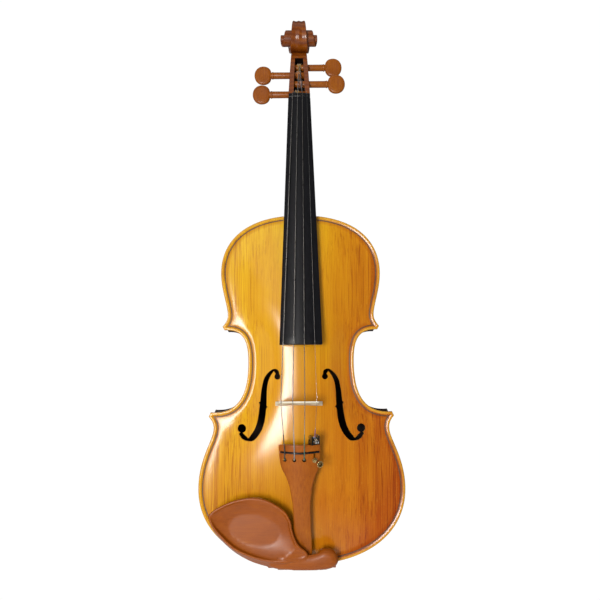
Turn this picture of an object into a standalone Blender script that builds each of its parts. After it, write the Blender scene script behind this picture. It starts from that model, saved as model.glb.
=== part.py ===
# Violin, full size, as an assembly of separate pieces.
# Body coordinates used below, in millimetres:
#   x  to the right, seen from the front (treble side +)
#   z  up the body from the lowest point of the plates
#   h  out of the front face, 0 at the edge of the top plate
# The world frame is in metres, +Z up the body, front towards -Y, and its origin
# is at the throat under the scroll, where a hanger holds the instrument.
import bpy
import bmesh
import math
import numpy as np
from mathutils import Vector, Matrix
from mathutils.geometry import delaunay_2d_cdt

MM = 0.001
for _o in list(bpy.data.objects):
    bpy.data.objects.remove(_o, do_unlink=True)

# ------------------------------------------------------------------ dimensions
HANG_Z, HANG_H = 551.0, -38.0        # throat under the scroll: the origin
BODY_LENGTH = 354.0
EDGE = 4.0                            # plate thickness at its edge
RIB_H = 31.0                          # rib height
OVERHANG = 2.5                        # plate edge outside the ribs
RIB_T = 1.2
LINING_T, LINING_H = 2.0, 7.0
BACK_H = -(2 * EDGE + RIB_H)          # outer plane of the back's edge
ARCH_TOP, ARCH_BACK = 11.6, 11.0      # arch over the edge plane
PLATE_T = 3.0                         # plate thickness inside
GAP = 0.3                             # glue line between neighbours
PURF_OUT, PURF_IN = 3.8, 5.0          # purfling strip, from the edge
NUT_Z = 485.2                         # nut's lower face
FB_END_Z = 216.5
FB_SLOPE = 0.1232
FB_TOP0 = -1.5                        # fingerboard's centre line at z 486
FB_R = 42.0
FB_W_NUT, FB_W_END, FB_EDGE = 24.0, 42.5, 5.0
BRIDGE_X, BRIDGE_Z, BRIDGE_TOP = -2.4, 158.4, 44.6
BRIDGE_LEAN = 3.6                     # top stands this far towards the nut
STRING_NUT_X = (-7.2, -1.9, 3.2, 8.1)
STRING_BRIDGE_X = (-19.4, -8.1, 3.3, 14.6)
STRING_TAIL_X = (-16.3, -7.0, 2.5, 12.3)
STRING_R = (0.42, 0.38, 0.34, 0.16)
PEG_ZH = ((494.0, -14.5), (523.0, -27.5), (535.5, -34.0), (509.0, -20.8))   # g d a e
PEG_SIDE = (-1, -1, 1, 1)
PEG_HEAD = (41.8, 40.9, 39.1, 41.5)                                    # centre of each thumb piece from the middle
PEG_R = 3.6
END_PIN_H = -19.5
TUNER_X, TUNER_Z = 12.3, 106.0        # fine tuner's screw
PIVOT_U = 21.0                        # its lever's axle, towards the bridge from the screw
CLAMP_X, CLAMP_Z = 20.0, -2.1
CLAMP_TRAVEL = 4.0

# Half outline of the plates, as cubic arcs (x, z): bottom centre to top centre.
LOWER = (((0, 0), (68, 0), (104, 32.3), (104, 74.3)),
         ((104, 74.3), (104, 104.3), (89.1, 121.6), (89.1, 133.6)),
         ((89.1, 133.6), (89.1, 138.2), (91.2, 141.6), (94.3, 145.0)))
WAIST = (((92.3, 149.4), (62, 147), (54.2, 170), (54.2, 199)),
         ((54.2, 199), (54.2, 222), (59, 233.5), (79.0, 232.9)))
UPPER = (((81.0, 236.6), (78.5, 239.5), (75.6, 243), (75.6, 248)),
         ((75.6, 248), (75.6, 258), (83.05, 275), (83.05, 293)),
         ((83.05, 293), (83.05, 325), (60, BODY_LENGTH), (0, BODY_LENGTH)))

parts = bpy.data.collections.new("violin")
bpy.context.scene.collection.children.link(parts)
tools = bpy.data.collections.new("violin_cutters")
bpy.context.scene.collection.children.link(tools)

# ------------------------------------------------------------------ helpers


def W(x, z, h):
    """Body millimetres to world metres."""
    return Vector((x * MM, -(h - HANG_H) * MM, (z - HANG_Z) * MM))


MATS = {}


def material(name, rgb, rough=0.5, metal=0.0):
    m = bpy.data.materials.new(name)
    m.use_nodes = True
    b = m.node_tree.nodes["Principled BSDF"]
    b.inputs["Base Color"].default_value = (*rgb, 1)
    b.inputs["Roughness"].default_value = rough
    b.inputs["Metallic"].default_value = metal
    MATS[name] = m


for _n, _c, _r, _m in (
        ("spruce", (0.72, 0.36, 0.05), 0.3, 0), ("maple_back", (0.5, 0.2, 0.04), 0.3, 0),
        ("maple_rib", (0.36, 0.14, 0.03), 0.35, 0), ("maple_neck", (0.5, 0.22, 0.05), 0.35, 0),
        ("inner_wood", (0.62, 0.5, 0.33), 0.7, 0), ("ebony", (0.012, 0.011, 0.011), 0.35, 0),
        ("boxwood", (0.33, 0.12, 0.03), 0.4, 0), ("bridge_maple", (0.72, 0.6, 0.42), 0.55, 0),
        ("purfling", (0.05, 0.03, 0.02), 0.5, 0), ("steel", (0.6, 0.6, 0.62), 0.25, 1),
        ("black_metal", (0.02, 0.02, 0.02), 0.35, 0.6), ("brass", (0.75, 0.58, 0.25), 0.25, 1),
        ("string_metal", (0.6, 0.6, 0.6), 0.3, 1), ("nylon", (0.03, 0.03, 0.03), 0.5, 0),
        ("cork", (0.45, 0.28, 0.15), 0.9, 0)):
    material(_n, _c, _r, _m)


def link(ob, mat, coll=None):
    (coll or parts).objects.link(ob)
    if mat:
        ob.data.materials.append(MATS[mat])
    return ob


def mesh_object(name, verts, faces, mat, at=None, coll=None, weld=1e-6, smooth=True):
    """verts are world vectors; at is the world point for the object's origin."""
    at = at or Vector((0, 0, 0))
    bm = bmesh.new()
    vs = [bm.verts.new(v - at) for v in verts]
    for f in faces:
        if len(set(f)) >= 3:
            try:
                bm.faces.new([vs[i] for i in f])
            except ValueError:
                pass
    bmesh.ops.remove_doubles(bm, verts=bm.verts, dist=weld)
    bmesh.ops.dissolve_degenerate(bm, edges=bm.edges, dist=1e-7)
    loose = [v for v in bm.verts if not v.link_faces]
    bmesh.ops.delete(bm, geom=loose, context="VERTS")
    bmesh.ops.recalc_face_normals(bm, faces=bm.faces)
    me = bpy.data.meshes.new(name)
    bm.to_mesh(me)
    bm.free()
    if smooth:
        me.shade_smooth()
        me.set_sharp_from_angle(angle=math.radians(35))
    ob = bpy.data.objects.new(name, me)
    ob.location = at
    return link(ob, mat, coll)


def as_cutter(ob):
    ob.hide_render = True
    ob.display_type = "WIRE"
    for c in list(ob.users_collection):
        c.objects.unlink(ob)
    tools.objects.link(ob)
    return ob


def boolean(ob, other, op="DIFFERENCE"):
    m = ob.modifiers.new(op.lower(), "BOOLEAN")
    m.operation = op
    m.object = as_cutter(other)
    m.solver = "EXACT"
    return m


def box(name, x, z, h, mat=None, coll=None):
    """A block from its limits in body millimetres."""
    bm = bmesh.new()
    bmesh.ops.create_cube(bm, size=1.0)
    lo, hi = W(min(x), min(z), max(h)), W(max(x), max(z), min(h))
    mid, size = (lo + hi) / 2, hi - lo
    for v in bm.verts:
        v.co = Vector((v.co.x * size.x, v.co.y * size.y, v.co.z * size.z))
    me = bpy.data.meshes.new(name)
    bm.to_mesh(me)
    bm.free()
    ob = bpy.data.objects.new(name, me)
    ob.location = mid
    return link(ob, mat, coll)


def bevel(ob, width, segments=2):
    b = ob.modifiers.new("bevel", "BEVEL")
    b.width = width * MM
    b.segments = segments
    b.limit_method = "ANGLE"
    return b


def turned(name, profile, origin, axis, mat, steps=16, coll=None):
    """profile: (radius, distance along axis) from the far end back, in mm."""
    me = bpy.data.meshes.new(name)
    pts = [Vector((r * MM, 0, a * MM)) for r, a in profile]
    me.from_pydata(pts, [(i, i + 1) for i in range(len(pts) - 1)], [])
    ob = bpy.data.objects.new(name, me)
    ob.location = origin
    ob.rotation_mode = "QUATERNION"
    ob.rotation_quaternion = Vector((0, 0, 1)).rotation_difference(Vector(axis))
    s = ob.modifiers.new("screw", "SCREW")
    s.axis = "Z"
    s.angle = 2 * math.pi
    s.steps = steps
    s.render_steps = steps
    s.use_merge_vertices = True
    s.merge_threshold = 0.00001
    s.use_smooth_shade = True
    return link(ob, mat, coll)


def rod(name, radius, p0, p1, mat=None, sides=16, coll=None):
    """A straight cylinder between two world points."""
    bm = bmesh.new()
    L = (p1 - p0).length
    bmesh.ops.create_cone(bm, cap_ends=True, segments=sides, radius1=radius * MM, radius2=radius * MM, depth=L)
    me = bpy.data.meshes.new(name)
    bm.to_mesh(me)
    bm.free()
    me.shade_smooth()
    me.set_sharp_from_angle(angle=math.radians(40))
    ob = bpy.data.objects.new(name, me)
    ob.location = (p0 + p1) / 2
    ob.rotation_mode = "QUATERNION"
    ob.rotation_quaternion = Vector((0, 0, 1)).rotation_difference((p1 - p0).normalized())
    return link(ob, mat, coll)


def wire(name, radius, pts, mat):
    """A round wire through body points."""
    cu = bpy.data.curves.new(name, "CURVE")
    cu.dimensions = "3D"
    cu.bevel_depth = radius * MM
    cu.bevel_resolution = 2
    cu.use_fill_caps = True
    sp = cu.splines.new("POLY")
    sp.points.add(len(pts) - 1)
    for p, q in zip(sp.points, pts):
        p.co = (*W(*q), 1)
    ob = bpy.data.objects.new(name, cu)
    return link(ob, mat)


def smooth_path(pts, n):
    """Catmull-Rom points through the given ones, n to a span."""
    P = [np.array(p, float) for p in pts]
    P = [2 * P[0] - P[1]] + P + [2 * P[-1] - P[-2]]
    out = []
    for i in range(1, len(P) - 2):
        a, b, c, d = P[i - 1:i + 3]
        for k in range(n):
            t = k / n
            out.append(0.5 * ((2 * b) + (c - a) * t + (2 * a - 5 * b + 4 * c - d) * t * t
                              + (3 * b - a - 3 * c + d) * t ** 3))
    out.append(P[-2])
    return out


def closed_path(pts, n):
    m = len(pts)
    P = [np.array(p, float) for p in pts]
    out = []
    for i in range(m):
        a, b, c, d = P[i - 1], P[i], P[(i + 1) % m], P[(i + 2) % m]
        for k in range(n):
            t = k / n
            out.append(0.5 * ((2 * b) + (c - a) * t + (2 * a - 5 * b + 4 * c - d) * t * t
                              + (3 * b - a - 3 * c + d) * t ** 3))
    return out


def prism(name, poly, h0, h1, mat=None, coll=None, at=None):
    """An outline in x, z, drawn out from h0 to h1."""
    n = len(poly)
    v = [W(x, z, h0) for x, z in poly] + [W(x, z, h1) for x, z in poly]
    f = [list(range(n)), list(range(2 * n - 1, n - 1, -1))]
    f += [[i, (i + 1) % n, n + (i + 1) % n, n + i] for i in range(n)]
    return mesh_object(name, v, f, mat, coll=coll, at=at)


def loft(name, sections, mat=None, coll=None, at=None, smooth=True):
    """Closed sections with equal numbers of body points, joined and capped."""
    n = len(sections[0])
    v, f = [], []
    for s in sections:
        v += [W(*p) for p in s]
    for k in range(len(sections) - 1):
        a, b = k * n, (k + 1) * n
        f += [[a + i, a + (i + 1) % n, b + (i + 1) % n, b + i] for i in range(n)]
    f.append(list(range(n)))
    f.append(list(range((len(sections) - 1) * n, len(sections) * n)))
    return mesh_object(name, v, f, mat, coll=coll, at=at, smooth=smooth)


# ------------------------------------------------------------------ outline


def arc_points(arcs, n=120):
    out = []
    for a, b, c, d in arcs:
        t = np.linspace(0, 1, n, endpoint=False)[:, None]
        a, b, c, d = (np.array(p, float) for p in (a, b, c, d))
        out.append(a * (1 - t) ** 3 + 3 * b * t * (1 - t) ** 2 + 3 * c * t * t * (1 - t) + d * t ** 3)
    out.append(np.array([arcs[-1][-1]], float))
    return np.vstack(out)


def lengthened(p, start, end, by=12.0):
    """A chain carried straight on past its corner ends."""
    if start:
        d = (p[0] - p[1]) / np.linalg.norm(p[0] - p[1])
        p = np.vstack([p[0] + d * np.linspace(by, 0.5, 24)[:, None], p])
    if end:
        d = (p[-1] - p[-2]) / np.linalg.norm(p[-1] - p[-2])
        p = np.vstack([p, p[-1] + d * np.linspace(0.5, by, 24)[:, None]])
    return p


CHAINS = [lengthened(arc_points(LOWER), False, True), lengthened(arc_points(WAIST), True, True),
          lengthened(arc_points(UPPER), True, False)]


def inset(p, d):
    """A chain moved inwards by d (inwards is to its left, going up the right side)."""
    t = np.gradient(p, axis=0)
    t /= np.linalg.norm(t, axis=1)[:, None]
    n = np.stack([-t[:, 1], t[:, 0]], axis=1)
    return p + n * d


def crossing(p, q):
    """First crossing of two polylines: positions along each, as fractional indices."""
    a, b = p[:-1], p[1:]
    c, d = q[:-1], q[1:]
    r, s = b - a, d - c
    den = r[:, None, 0] * s[None, :, 1] - r[:, None, 1] * s[None, :, 0]
    den = np.where(np.abs(den) < 1e-12, 1e-12, den)
    ac = c[None] - a[:, None]
    t = (ac[..., 0] * s[None, :, 1] - ac[..., 1] * s[None, :, 0]) / den
    u = (ac[..., 0] * r[:, None, 1] - ac[..., 1] * r[:, None, 0]) / den
    hit = np.argwhere((t >= 0) & (t <= 1) & (u >= 0) & (u <= 1))
    if not len(hit):
        return None
    i, j = hit[0]
    return i + t[i, j], j + u[i, j]


def at_index(p, s):
    i = min(int(s), len(p) - 2)
    return p[i] + (p[i + 1] - p[i]) * (s - i)


def part_of(p, s0, s1):
    mid = [p[i] for i in range(int(math.ceil(s0 + 1e-9)), int(math.floor(s1 - 1e-9)) + 1)]
    return np.array([at_index(p, s0)] + mid + [at_index(p, s1)])


TIPS = ((np.array([94.3, 145.0]), np.array([92.3, 149.4])), (np.array([79.0, 232.9]), np.array([81.0, 236.6])))


def ring_chains(d):
    """The right half of the outline moved in by d: lower, waist and upper chain."""
    c = [inset(p, d) for p in CHAINS]
    lim = [[0.0, None], [None, None], [None, len(c[2]) - 1.0]]
    for k, (a, b) in enumerate(TIPS):
        i, j = crossing(c[k], c[k + 1])
        t = (b - a) / np.linalg.norm(b - a)
        n = np.array([-t[1], t[0]])
        cut = np.array([a + n * d - t * 40, b + n * d + t * 40])
        e, g = crossing(c[k], cut), crossing(c[k + 1][::-1], cut)
        if e and e[0] < i:
            i = e[0]
        if g:
            g = len(c[k + 1]) - 1 - g[0]
            if g > j:
                j = g
        lim[k][1], lim[k + 1][0] = i, j
    return [part_of(p, *l) for p, l in zip(c, lim)]


def resample(p, n, start=0.0, end=0.0):
    """n + 1 points evenly along p, leaving off lengths at its two ends."""
    s = np.concatenate([[0], np.cumsum(np.linalg.norm(np.diff(p, axis=0), axis=1))])
    t = np.linspace(start, s[-1] - end, n + 1)
    return np.stack([np.interp(t, s, p[:, k]) for k in (0, 1)], axis=1)


RES = (16, 11, 13)


def ring(d, res=RES):
    """The whole outline moved in by d, from the bottom centre up the right side and back."""
    a, b, c = (resample(p, n) for p, n in zip(ring_chains(d), res))
    a[0, 0] = 0.0
    c[-1, 0] = 0.0
    right = np.vstack([a, b, c])
    left = right[1:-1][::-1] * [-1, 1]
    return np.vstack([right, left])


# ------------------------------------------------------------------ arching
GRID = 2.0
_r8 = ring(8.0, (90, 50, 70))
_gx = np.arange(-108, 108.1, GRID)
_gz = np.arange(-2, 358.1, GRID)


def inside(poly, x, z):
    ok = np.zeros(np.shape(x), bool)
    n = len(poly)
    for i in range(n):
        x0, z0 = poly[i]
        x1, z1 = poly[(i + 1) % n]
        if z0 == z1:
            continue
        c = (z0 > z) != (z1 > z)
        ok ^= c & (x < (x1 - x0) * (z - z0) / (z1 - z0) + x0)
    return ok


_X, _Z = np.meshgrid(_gx, _gz)
_in = inside(_r8, _X, _Z)
_m = np.zeros(_X.shape)
_chk = (np.add.outer(np.arange(_X.shape[0]), np.arange(_X.shape[1])) % 2) == 0
for _k in range(700):
    for _c in (_chk, ~_chk):
        _avg = 0.25 * (np.roll(_m, 1, 0) + np.roll(_m, -1, 0) + np.roll(_m, 1, 1) + np.roll(_m, -1, 1) + 1.0)
        _m = np.where(_in & _c, _m + 1.93 * (_avg - _m), _m)
_mid = _m[:, len(_gx) // 2]


def sample(x, z):
    """The stretched-skin form of the arch, 1 on the centre line and 0 at the channel."""
    fx = (x - _gx[0]) / GRID
    fz = (z - _gz[0]) / GRID
    i, j = int(fz), int(fx)
    if i < 0 or j < 0 or i >= len(_gz) - 1 or j >= len(_gx) - 1:
        return 0.0
    u, v = fz - i, fx - j
    top = (_m[i, j] * (1 - u) * (1 - v) + _m[i + 1, j] * u * (1 - v) + _m[i, j + 1] * (1 - u) * v + _m[i + 1, j + 1] * u * v)
    mid = _mid[i] * (1 - u) + _mid[i + 1] * u
    return min(max(top / mid, 0.0), 1.0) if mid > 1e-6 else 0.0


def arch(x, z, rise):
    """Height of a plate's outer face over its edge plane, inside the channel."""
    q = sample(x, z)
    s = 0.55 * q * q * (3 - 2 * q) + 0.45 * q ** 1.5
    zeta = min(abs((z - 177.0) / 169.0), 1.0)
    return -0.6 * (1 - s) + rise * (1 - zeta ** 2.5) ** 1.15 * s


def top_in(x, z):
    """Inner face of the top plate."""
    return arch(x, z, ARCH_TOP) - PLATE_T - 0.4


def back_in(x, z):
    return BACK_H - arch(x, z, ARCH_BACK) + PLATE_T + 0.4


def cap_faces(loop, points, inner, step):
    """Triangles inside a closed loop: loop holds indices into points; inner(x, z) gives the new points' height."""
    keep, last = [], None
    for i in loop:
        p = points[i]
        if last is None or math.dist(p[:2], last) > 1e-6:
            keep.append(i)
            last = p[:2]
    if math.dist(points[keep[0]][:2], points[keep[-1]][:2]) < 1e-6:
        keep.pop()
    poly = np.array([points[i][:2] for i in keep])
    dense = np.vstack([poly + (np.roll(poly, -1, 0) - poly) * t for t in (0, 0.25, 0.5, 0.75)])
    extra = []
    row = 0
    z = step / 2
    while z < BODY_LENGTH:
        xs = np.arange(0 if row % 2 else step / 2, 110, step)
        xs = np.concatenate([-xs[::-1], xs])
        ok = inside(poly, xs, np.full(len(xs), z))
        for x in sorted(set(np.round(xs[ok], 6))):
            if np.min(np.hypot(dense[:, 0] - x, dense[:, 1] - z)) > step * 0.6:
                extra.append((x, z))
        z += step * 0.87
        row += 1
    base = len(points)
    for x, z in extra:
        points.append((x, z, inner(x, z)))
    coords = [Vector(points[i][:2]) for i in keep] + [Vector(p) for p in extra]
    _, _, tris, orig, _, _ = delaunay_2d_cdt(coords, [], [list(range(len(keep)))], 1, 1e-6)
    names = keep + list(range(base, base + len(extra)))
    return [[names[orig[i][0]] for i in t] for t in tris]


def plate(name, flip, rise, groove, mat):
    """An arched plate with its edge, channel and, if groove, a slot for the purfling."""
    rows = [(7.5, -EDGE), (0.7, -EDGE), (0.0, -EDGE + 0.7), (0.0, -0.9), (0.9, 0.0)]
    if groove:
        a, b = PURF_OUT - GAP, PURF_IN + GAP
        rows += [(a, -0.15), (a, -2.1), (b, -2.1), (b, -0.45)]
    rows += [(9.0, -0.6)]
    pts, faces, loops = [], [], []
    for d, h in rows:
        r = ring(d)
        loops.append(list(range(len(pts), len(pts) + len(r))))
        pts += [(x, z, h) for x, z in r]
    n = len(loops[0])
    for a, b in zip(loops, loops[1:]):
        faces += [[a[i], a[(i + 1) % n], b[(i + 1) % n], b[i]] for i in range(n)]
    faces += cap_faces(loops[-1], pts, lambda x, z: arch(x, z, rise), 12.5)
    faces += cap_faces(loops[0], pts, lambda x, z: arch(x, z, rise) - PLATE_T - 0.4 * 1, 12.5)
    if flip:
        pts = [(x, z, BACK_H - h) for x, z, h in pts]
    return mesh_object(name, [W(*p) for p in pts], faces, mat)


# ------------------------------------------------------------------ the body
top = plate("top_plate", False, ARCH_TOP, True, "spruce")
back = plate("back_plate", True, ARCH_BACK, False, "maple_back")

# f-holes: the outline of the left one's stem and two eyes, mirrored for the right
F_STEM = [(-28.6, 192.6), (-31.8, 190.6), (-35.2, 187.2), (-38.0, 182.6), (-39.6, 176.5), (-40.9, 168.0),
          (-41.9, 158.5), (-43.0, 148.5), (-44.6, 139.5), (-47.8, 131.5), (-53.4, 123.8), (-57.5, 127.8),
          (-60.5, 130.0), (-63.4, 128.2), (-59.6, 123.2), (-54.0, 121.2), (-48.5, 121.6), (-43.6, 126.2),
          (-39.2, 133.5), (-36.6, 142.5), (-35.4, 152.5), (-34.9, 163.0), (-34.6, 173.0), (-33.2, 181.0),
          (-30.2, 187.2), (-27.6, 190.6), (-25.4, 187.6), (-22.0, 187.8), (-22.6, 190.8), (-25.4, 192.8)]
for side in (1, -1):
    poly = [(x * side, z) for x, z in F_STEM]
    boolean(top, prism("f_stem", poly, -8, 22))
    for ex, ez, er in ((-24.0, 185.2, 3.0), (-60.2, 133.4, 4.3)):
        boolean(top, rod("f_eye", er, W(ex * side, ez, -8), W(ex * side, ez, 22), sides=18))

# notches of the top plate for the neck's root and the saddle
NECK_ROOT_Z = BODY_LENGTH - 6.0
boolean(top, box("root_slot", (-17.2, 17.2), (NECK_ROOT_Z - GAP, BODY_LENGTH + 5), (-10, 8)))
boolean(top, box("saddle_slot", (-17.3, 17.3), (-6, 3.2), (-2.6, 5)))
# the back's button, under the heel
boolean(back, rod("button", 11.0, W(0, BODY_LENGTH + 2.0, BACK_H + 0.4), W(0, BODY_LENGTH + 2.0, BACK_H + EDGE - 0.01), sides=24), "UNION")

# purfling: one inlaid strip all round the top
rows = [ring(PURF_OUT), ring(PURF_IN)]
n = len(rows[0])
pv = [(x, z, -0.2) for x, z in rows[0]] + [(x, z, -0.45) for x, z in rows[1]]
pv += [(x, z, -1.8) for x, z in rows[1]] + [(x, z, -1.8) for x, z in rows[0]]
pf = [[k * n + i, k * n + (i + 1) % n, ((k + 1) % 4) * n + (i + 1) % n, ((k + 1) % 4) * n + i]
      for k in range(4) for i in range(n)]
purf = mesh_object("purfling_top", [W(*p) for p in pv], pf, "purfling")
boolean(purf, box("purf_slot_neck", (-17.8, 17.8), (NECK_ROOT_Z - 0.9, BODY_LENGTH + 5), (-10, 8)))

RIB_TOP, RIB_LOW = -EDGE - GAP, -EDGE - RIB_H + GAP


def strip(name, path, h0, h1, thick, mat):
    """A bent strip of wood: an upright band along the path, thickened both ways."""
    v = [W(x, z, h0) for x, z in path] + [W(x, z, h1) for x, z in path]
    m = len(path)
    f = [[i, i + 1, m + i + 1, m + i] for i in range(m - 1)]
    me = bpy.data.meshes.new(name)
    me.from_pydata(v, [], f)
    ob = bpy.data.objects.new(name, me)
    s = ob.modifiers.new("thickness", "SOLIDIFY")
    s.thickness = thick * MM
    s.offset = 0.0
    s.use_even_offset = True
    me.shade_smooth()
    me.set_sharp_from_angle(angle=math.radians(35))
    return link(ob, mat)


_rib = ring_chains(OVERHANG + RIB_T / 2)
low = resample(_rib[0], 24, 0.0, 0.9)
low = np.vstack([low[::-1] * [-1, 1], low[1:]])
low[24, 0] = 0.0
rib_lower = strip("rib_lower", low, RIB_TOP, RIB_LOW, RIB_T, "maple_rib")
boolean(rib_lower, rod("pin_hole", 4.0, W(0, -10, END_PIN_H), W(0, 12, END_PIN_H), sides=16))
for side, word in ((-1, "left"), (1, "right")):
    strip("rib_waist_" + word, resample(_rib[1], 12, 0.9, 0.9) * [side, 1], RIB_TOP, RIB_LOW, RIB_T, "maple_rib")
    strip("rib_upper_" + word, resample(_rib[2], 12, 0.9, 17.6) * [side, 1], RIB_TOP, RIB_LOW, RIB_T, "maple_rib")

# blocks and linings stand on the ribs' inner face
IN = OVERHANG + RIB_T + GAP
_blk = ring_chains(IN)
_lin = ring_chains(IN + LINING_T / 2 + 0.2)


def tail_of(p, length, n):
    """The last stretch of a chain, towards its end."""
    s = np.sum(np.linalg.norm(np.diff(p, axis=0), axis=1))
    return resample(p, n, s - length, 0.0)


def head_of(p, length, n):
    s = np.sum(np.linalg.norm(np.diff(p, axis=0), axis=1))
    return resample(p, n, 0.0, s - length)


def corner_block(name, side, a, b):
    """Between the end of chain a and the start of chain b."""
    poly = np.vstack([a, b[1:]])
    return prism(name, [(x * side, z) for x, z in poly], RIB_TOP, RIB_LOW, "inner_wood")


for side, word in ((-1, "left"), (1, "right")):
    corner_block("corner_block_lower_" + word, side, tail_of(_blk[0], 26, 4), head_of(_blk[1], 30, 5))
    corner_block("corner_block_upper_" + word, side, tail_of(_blk[1], 24, 4), head_of(_blk[2], 22, 4))

end_in = [(-25, 19.0), (-20, 20.5), (20, 20.5), (25, 19.0)]
c0 = head_of(_blk[0], 26.0, 4)
end_poly = list(map(tuple, c0[::-1] * [-1, 1])) + list(map(tuple, c0[1:])) + [(25, 19.5), (20, 21), (-20, 21), (-25, 19.5)]
end_block = prism("end_block", end_poly, RIB_TOP, RIB_LOW, "inner_wood")
boolean(end_block, rod("pin_hole_block", 4.0, W(0, -4, END_PIN_H), W(0, 40, END_PIN_H), sides=16))
c1 = tail_of(_blk[2], 28.0, 4)
neck_poly = list(map(tuple, c1)) + list(map(tuple, (c1[:-1] * [-1, 1])[::-1])) + [(-27, 333.5), (-22, 332), (22, 332), (27, 333.5)]
neck_block = prism("neck_block", neck_poly, RIB_TOP, RIB_LOW, "inner_wood")
boolean(neck_block, box("root_pocket", (-13.0, 13.0), (NECK_ROOT_Z - GAP, BODY_LENGTH + 5), (2, -40)))

for zone, (h0, h1) in (("top", (RIB_TOP, RIB_TOP - LINING_H)), ("back", (RIB_LOW, RIB_LOW + LINING_H))):
    for side, word in ((-1, "left"), (1, "right")):
        for where, chain, s, e, m in (("lower", 0, 27.5, 27.5, 14), ("waist", 1, 31.5, 25.5, 9), ("upper", 2, 23.5, 29.5, 11)):
            strip("lining_%s_%s_%s" % (zone, where, word), resample(_lin[chain], m, s, e) * [side, 1],
                  h0, h1, LINING_T, "inner_wood")

# sound post under the treble foot, bass bar under the bass foot
px, pz, pr = 17.0, 151.0, 3.0
rim = [(px + pr * math.cos(a), pz + pr * math.sin(a)) for a in np.linspace(0, 2 * math.pi, 12)]
rod("sound_post", pr, W(px, pz, max(back_in(x, z) for x, z in rim) + GAP),
    W(px, pz, min(top_in(x, z) for x, z in rim) - GAP), "inner_wood", sides=16)
secs = []
for k in range(13):
    z = 48 + 258 * k / 12
    x = -17.0 + 3.5 * (z - 158) / 140
    hgt = 3.0 + 8.5 * math.sin(math.pi * k / 12) ** 1.2
    t = min(top_in(x - 2.7, z), top_in(x + 2.7, z)) - GAP - 0.35
    secs.append([(x - 2.7, z, t), (x + 2.7, z, t), (x + 2.0, z, t - hgt), (x - 2.0, z, t - hgt)])
loft("bass_bar", secs, "inner_wood")

# ------------------------------------------------------------------ neck and scroll


def fb_top(z):
    return FB_TOP0 + (486.0 - z) * FB_SLOPE


def fb_width(z):
    return FB_W_NUT + (FB_W_END - FB_W_NUT) * (NUT_Z - z) / (NUT_Z - FB_END_Z)


def fb_low(z):
    """Underside of the fingerboard, straight between its two ends."""
    a, b = [fb_top(q) - (FB_R - math.sqrt(FB_R ** 2 - fb_width(q) ** 2 / 4)) - FB_EDGE for q in (NUT_Z, FB_END_Z)]
    return a + (b - a) * (NUT_Z - z) / (NUT_Z - FB_END_Z)


def neck_section(z, low_h, power, squeeze=1.0, n=9):
    """Flat glue face on top, rounded back."""
    w, t = fb_width(z) / 2 - 0.2, fb_low(z) - GAP
    out = []
    for k in range(n + 1):
        a = math.pi * k / n
        c, s = math.cos(a), math.sin(a)
        x = w * math.copysign(abs(c) ** (2 / power), c)
        d = abs(s) ** (2 / power)
        out.append((x * (1 - (1 - squeeze) * d), z, t - (t - low_h) * d))
    return out


NECK = ((354.6, -34.7, 4.5, 0.62), (359, -34.7, 3.6, 0.60), (363, -34.5, 2.8, 0.6), (366, -31.5, 2.4, 0.72),
        (369, -24, 2.2, 0.85), (373, -14.5, 2.1, 0.95), (379, -8.6, 2.0, 1.0), (400, -8.6, 2.0, 1.0),
        (430, -12.2, 2.0, 1.0), (460, -16.2, 2.0, 1.0), (478, -19.2, 2.0, 1.0), (486.5, -22.0, 2.4, 1.0))
neck = loft("neck_scroll", [neck_section(*s) for s in NECK], "maple_neck")
boolean(neck, box("root", (-12.6, 12.6), (NECK_ROOT_Z, 357.0), (-34.7, fb_low(354) - GAP - 0.02)), "UNION")

# pegbox: front edge (z, h), back edge (z, h) and half width, from the nut into the scroll
PEGBOX = ((484.0, -9.0, 484.0, -21.5, 11.9), (490.4, -6.5, 489.0, -26.0, 11.8), (505, -11.5, 501, -33.0, 11.2),
          (520, -18.0, 515, -40.0, 10.6), (535, -25.0, 529, -47.0, 9.9), (547, -31.0, 541, -53.5, 9.3),
          (554.5, -36.0, 549, -58.0, 8.9), (560.5, -43.0, 556, -61.4, 8.3), (565.5, -48.5, 564, -63.8, 7.5))
secs = []
for zf, hf, zb, hb, w in PEGBOX:
    t = Vector((zb - zf, hb - hf)).normalized()
    zm, hm = zb - 2.0 * t.x, hb - 2.0 * t.y
    secs.append([(-w, zf, hf), (w, zf, hf), (w, zm, hm), (w - 2, zb, hb), (-w + 2, zb, hb), (-w, zm, hm)])
boolean(neck, loft("pegbox", secs), "UNION")

# scroll: a spiral of 2.6 turns seen from the side, each turn wider than the one outside it
EYE_Z, EYE_H = 573.5, -40.5
TURN = 14                             # steps to a turn
STEPS = int(TURN * 2.55)


def spiral(i):
    """Radius and half width at step i; 0 is straight up and the turn runs forward."""
    q = i / TURN * 4                  # quarter turns from the top
    return 21.5 * 0.845 ** q, 6.4 + (2.15 * min(q, 6.9) if q > 0 else -1.35 * q)


def on_spiral(i, r):
    a = 2 * math.pi * i / TURN
    return EYE_Z + r * math.cos(a), EYE_H + r * math.sin(a)


START = -int(TURN * 0.36)
sv, sf, idx = [], [], {}


def put(key, p):
    if key not in idx:
        idx[key] = len(sv)
        sv.append(W(*p))
    return idx[key]


def edge_v(i, side):
    r, w = spiral(i)
    z, h = on_spiral(i, r)
    return put(("e", i, side), (side * w, z, h))


def base_v(i, side):
    """Foot of the next turn's wall, on the face of turn i."""
    w = spiral(i)[1]
    r = spiral(i + TURN)[0]
    z, h = on_spiral(i, r)
    return put(("b", i, side), (side * w, z, h))


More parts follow.
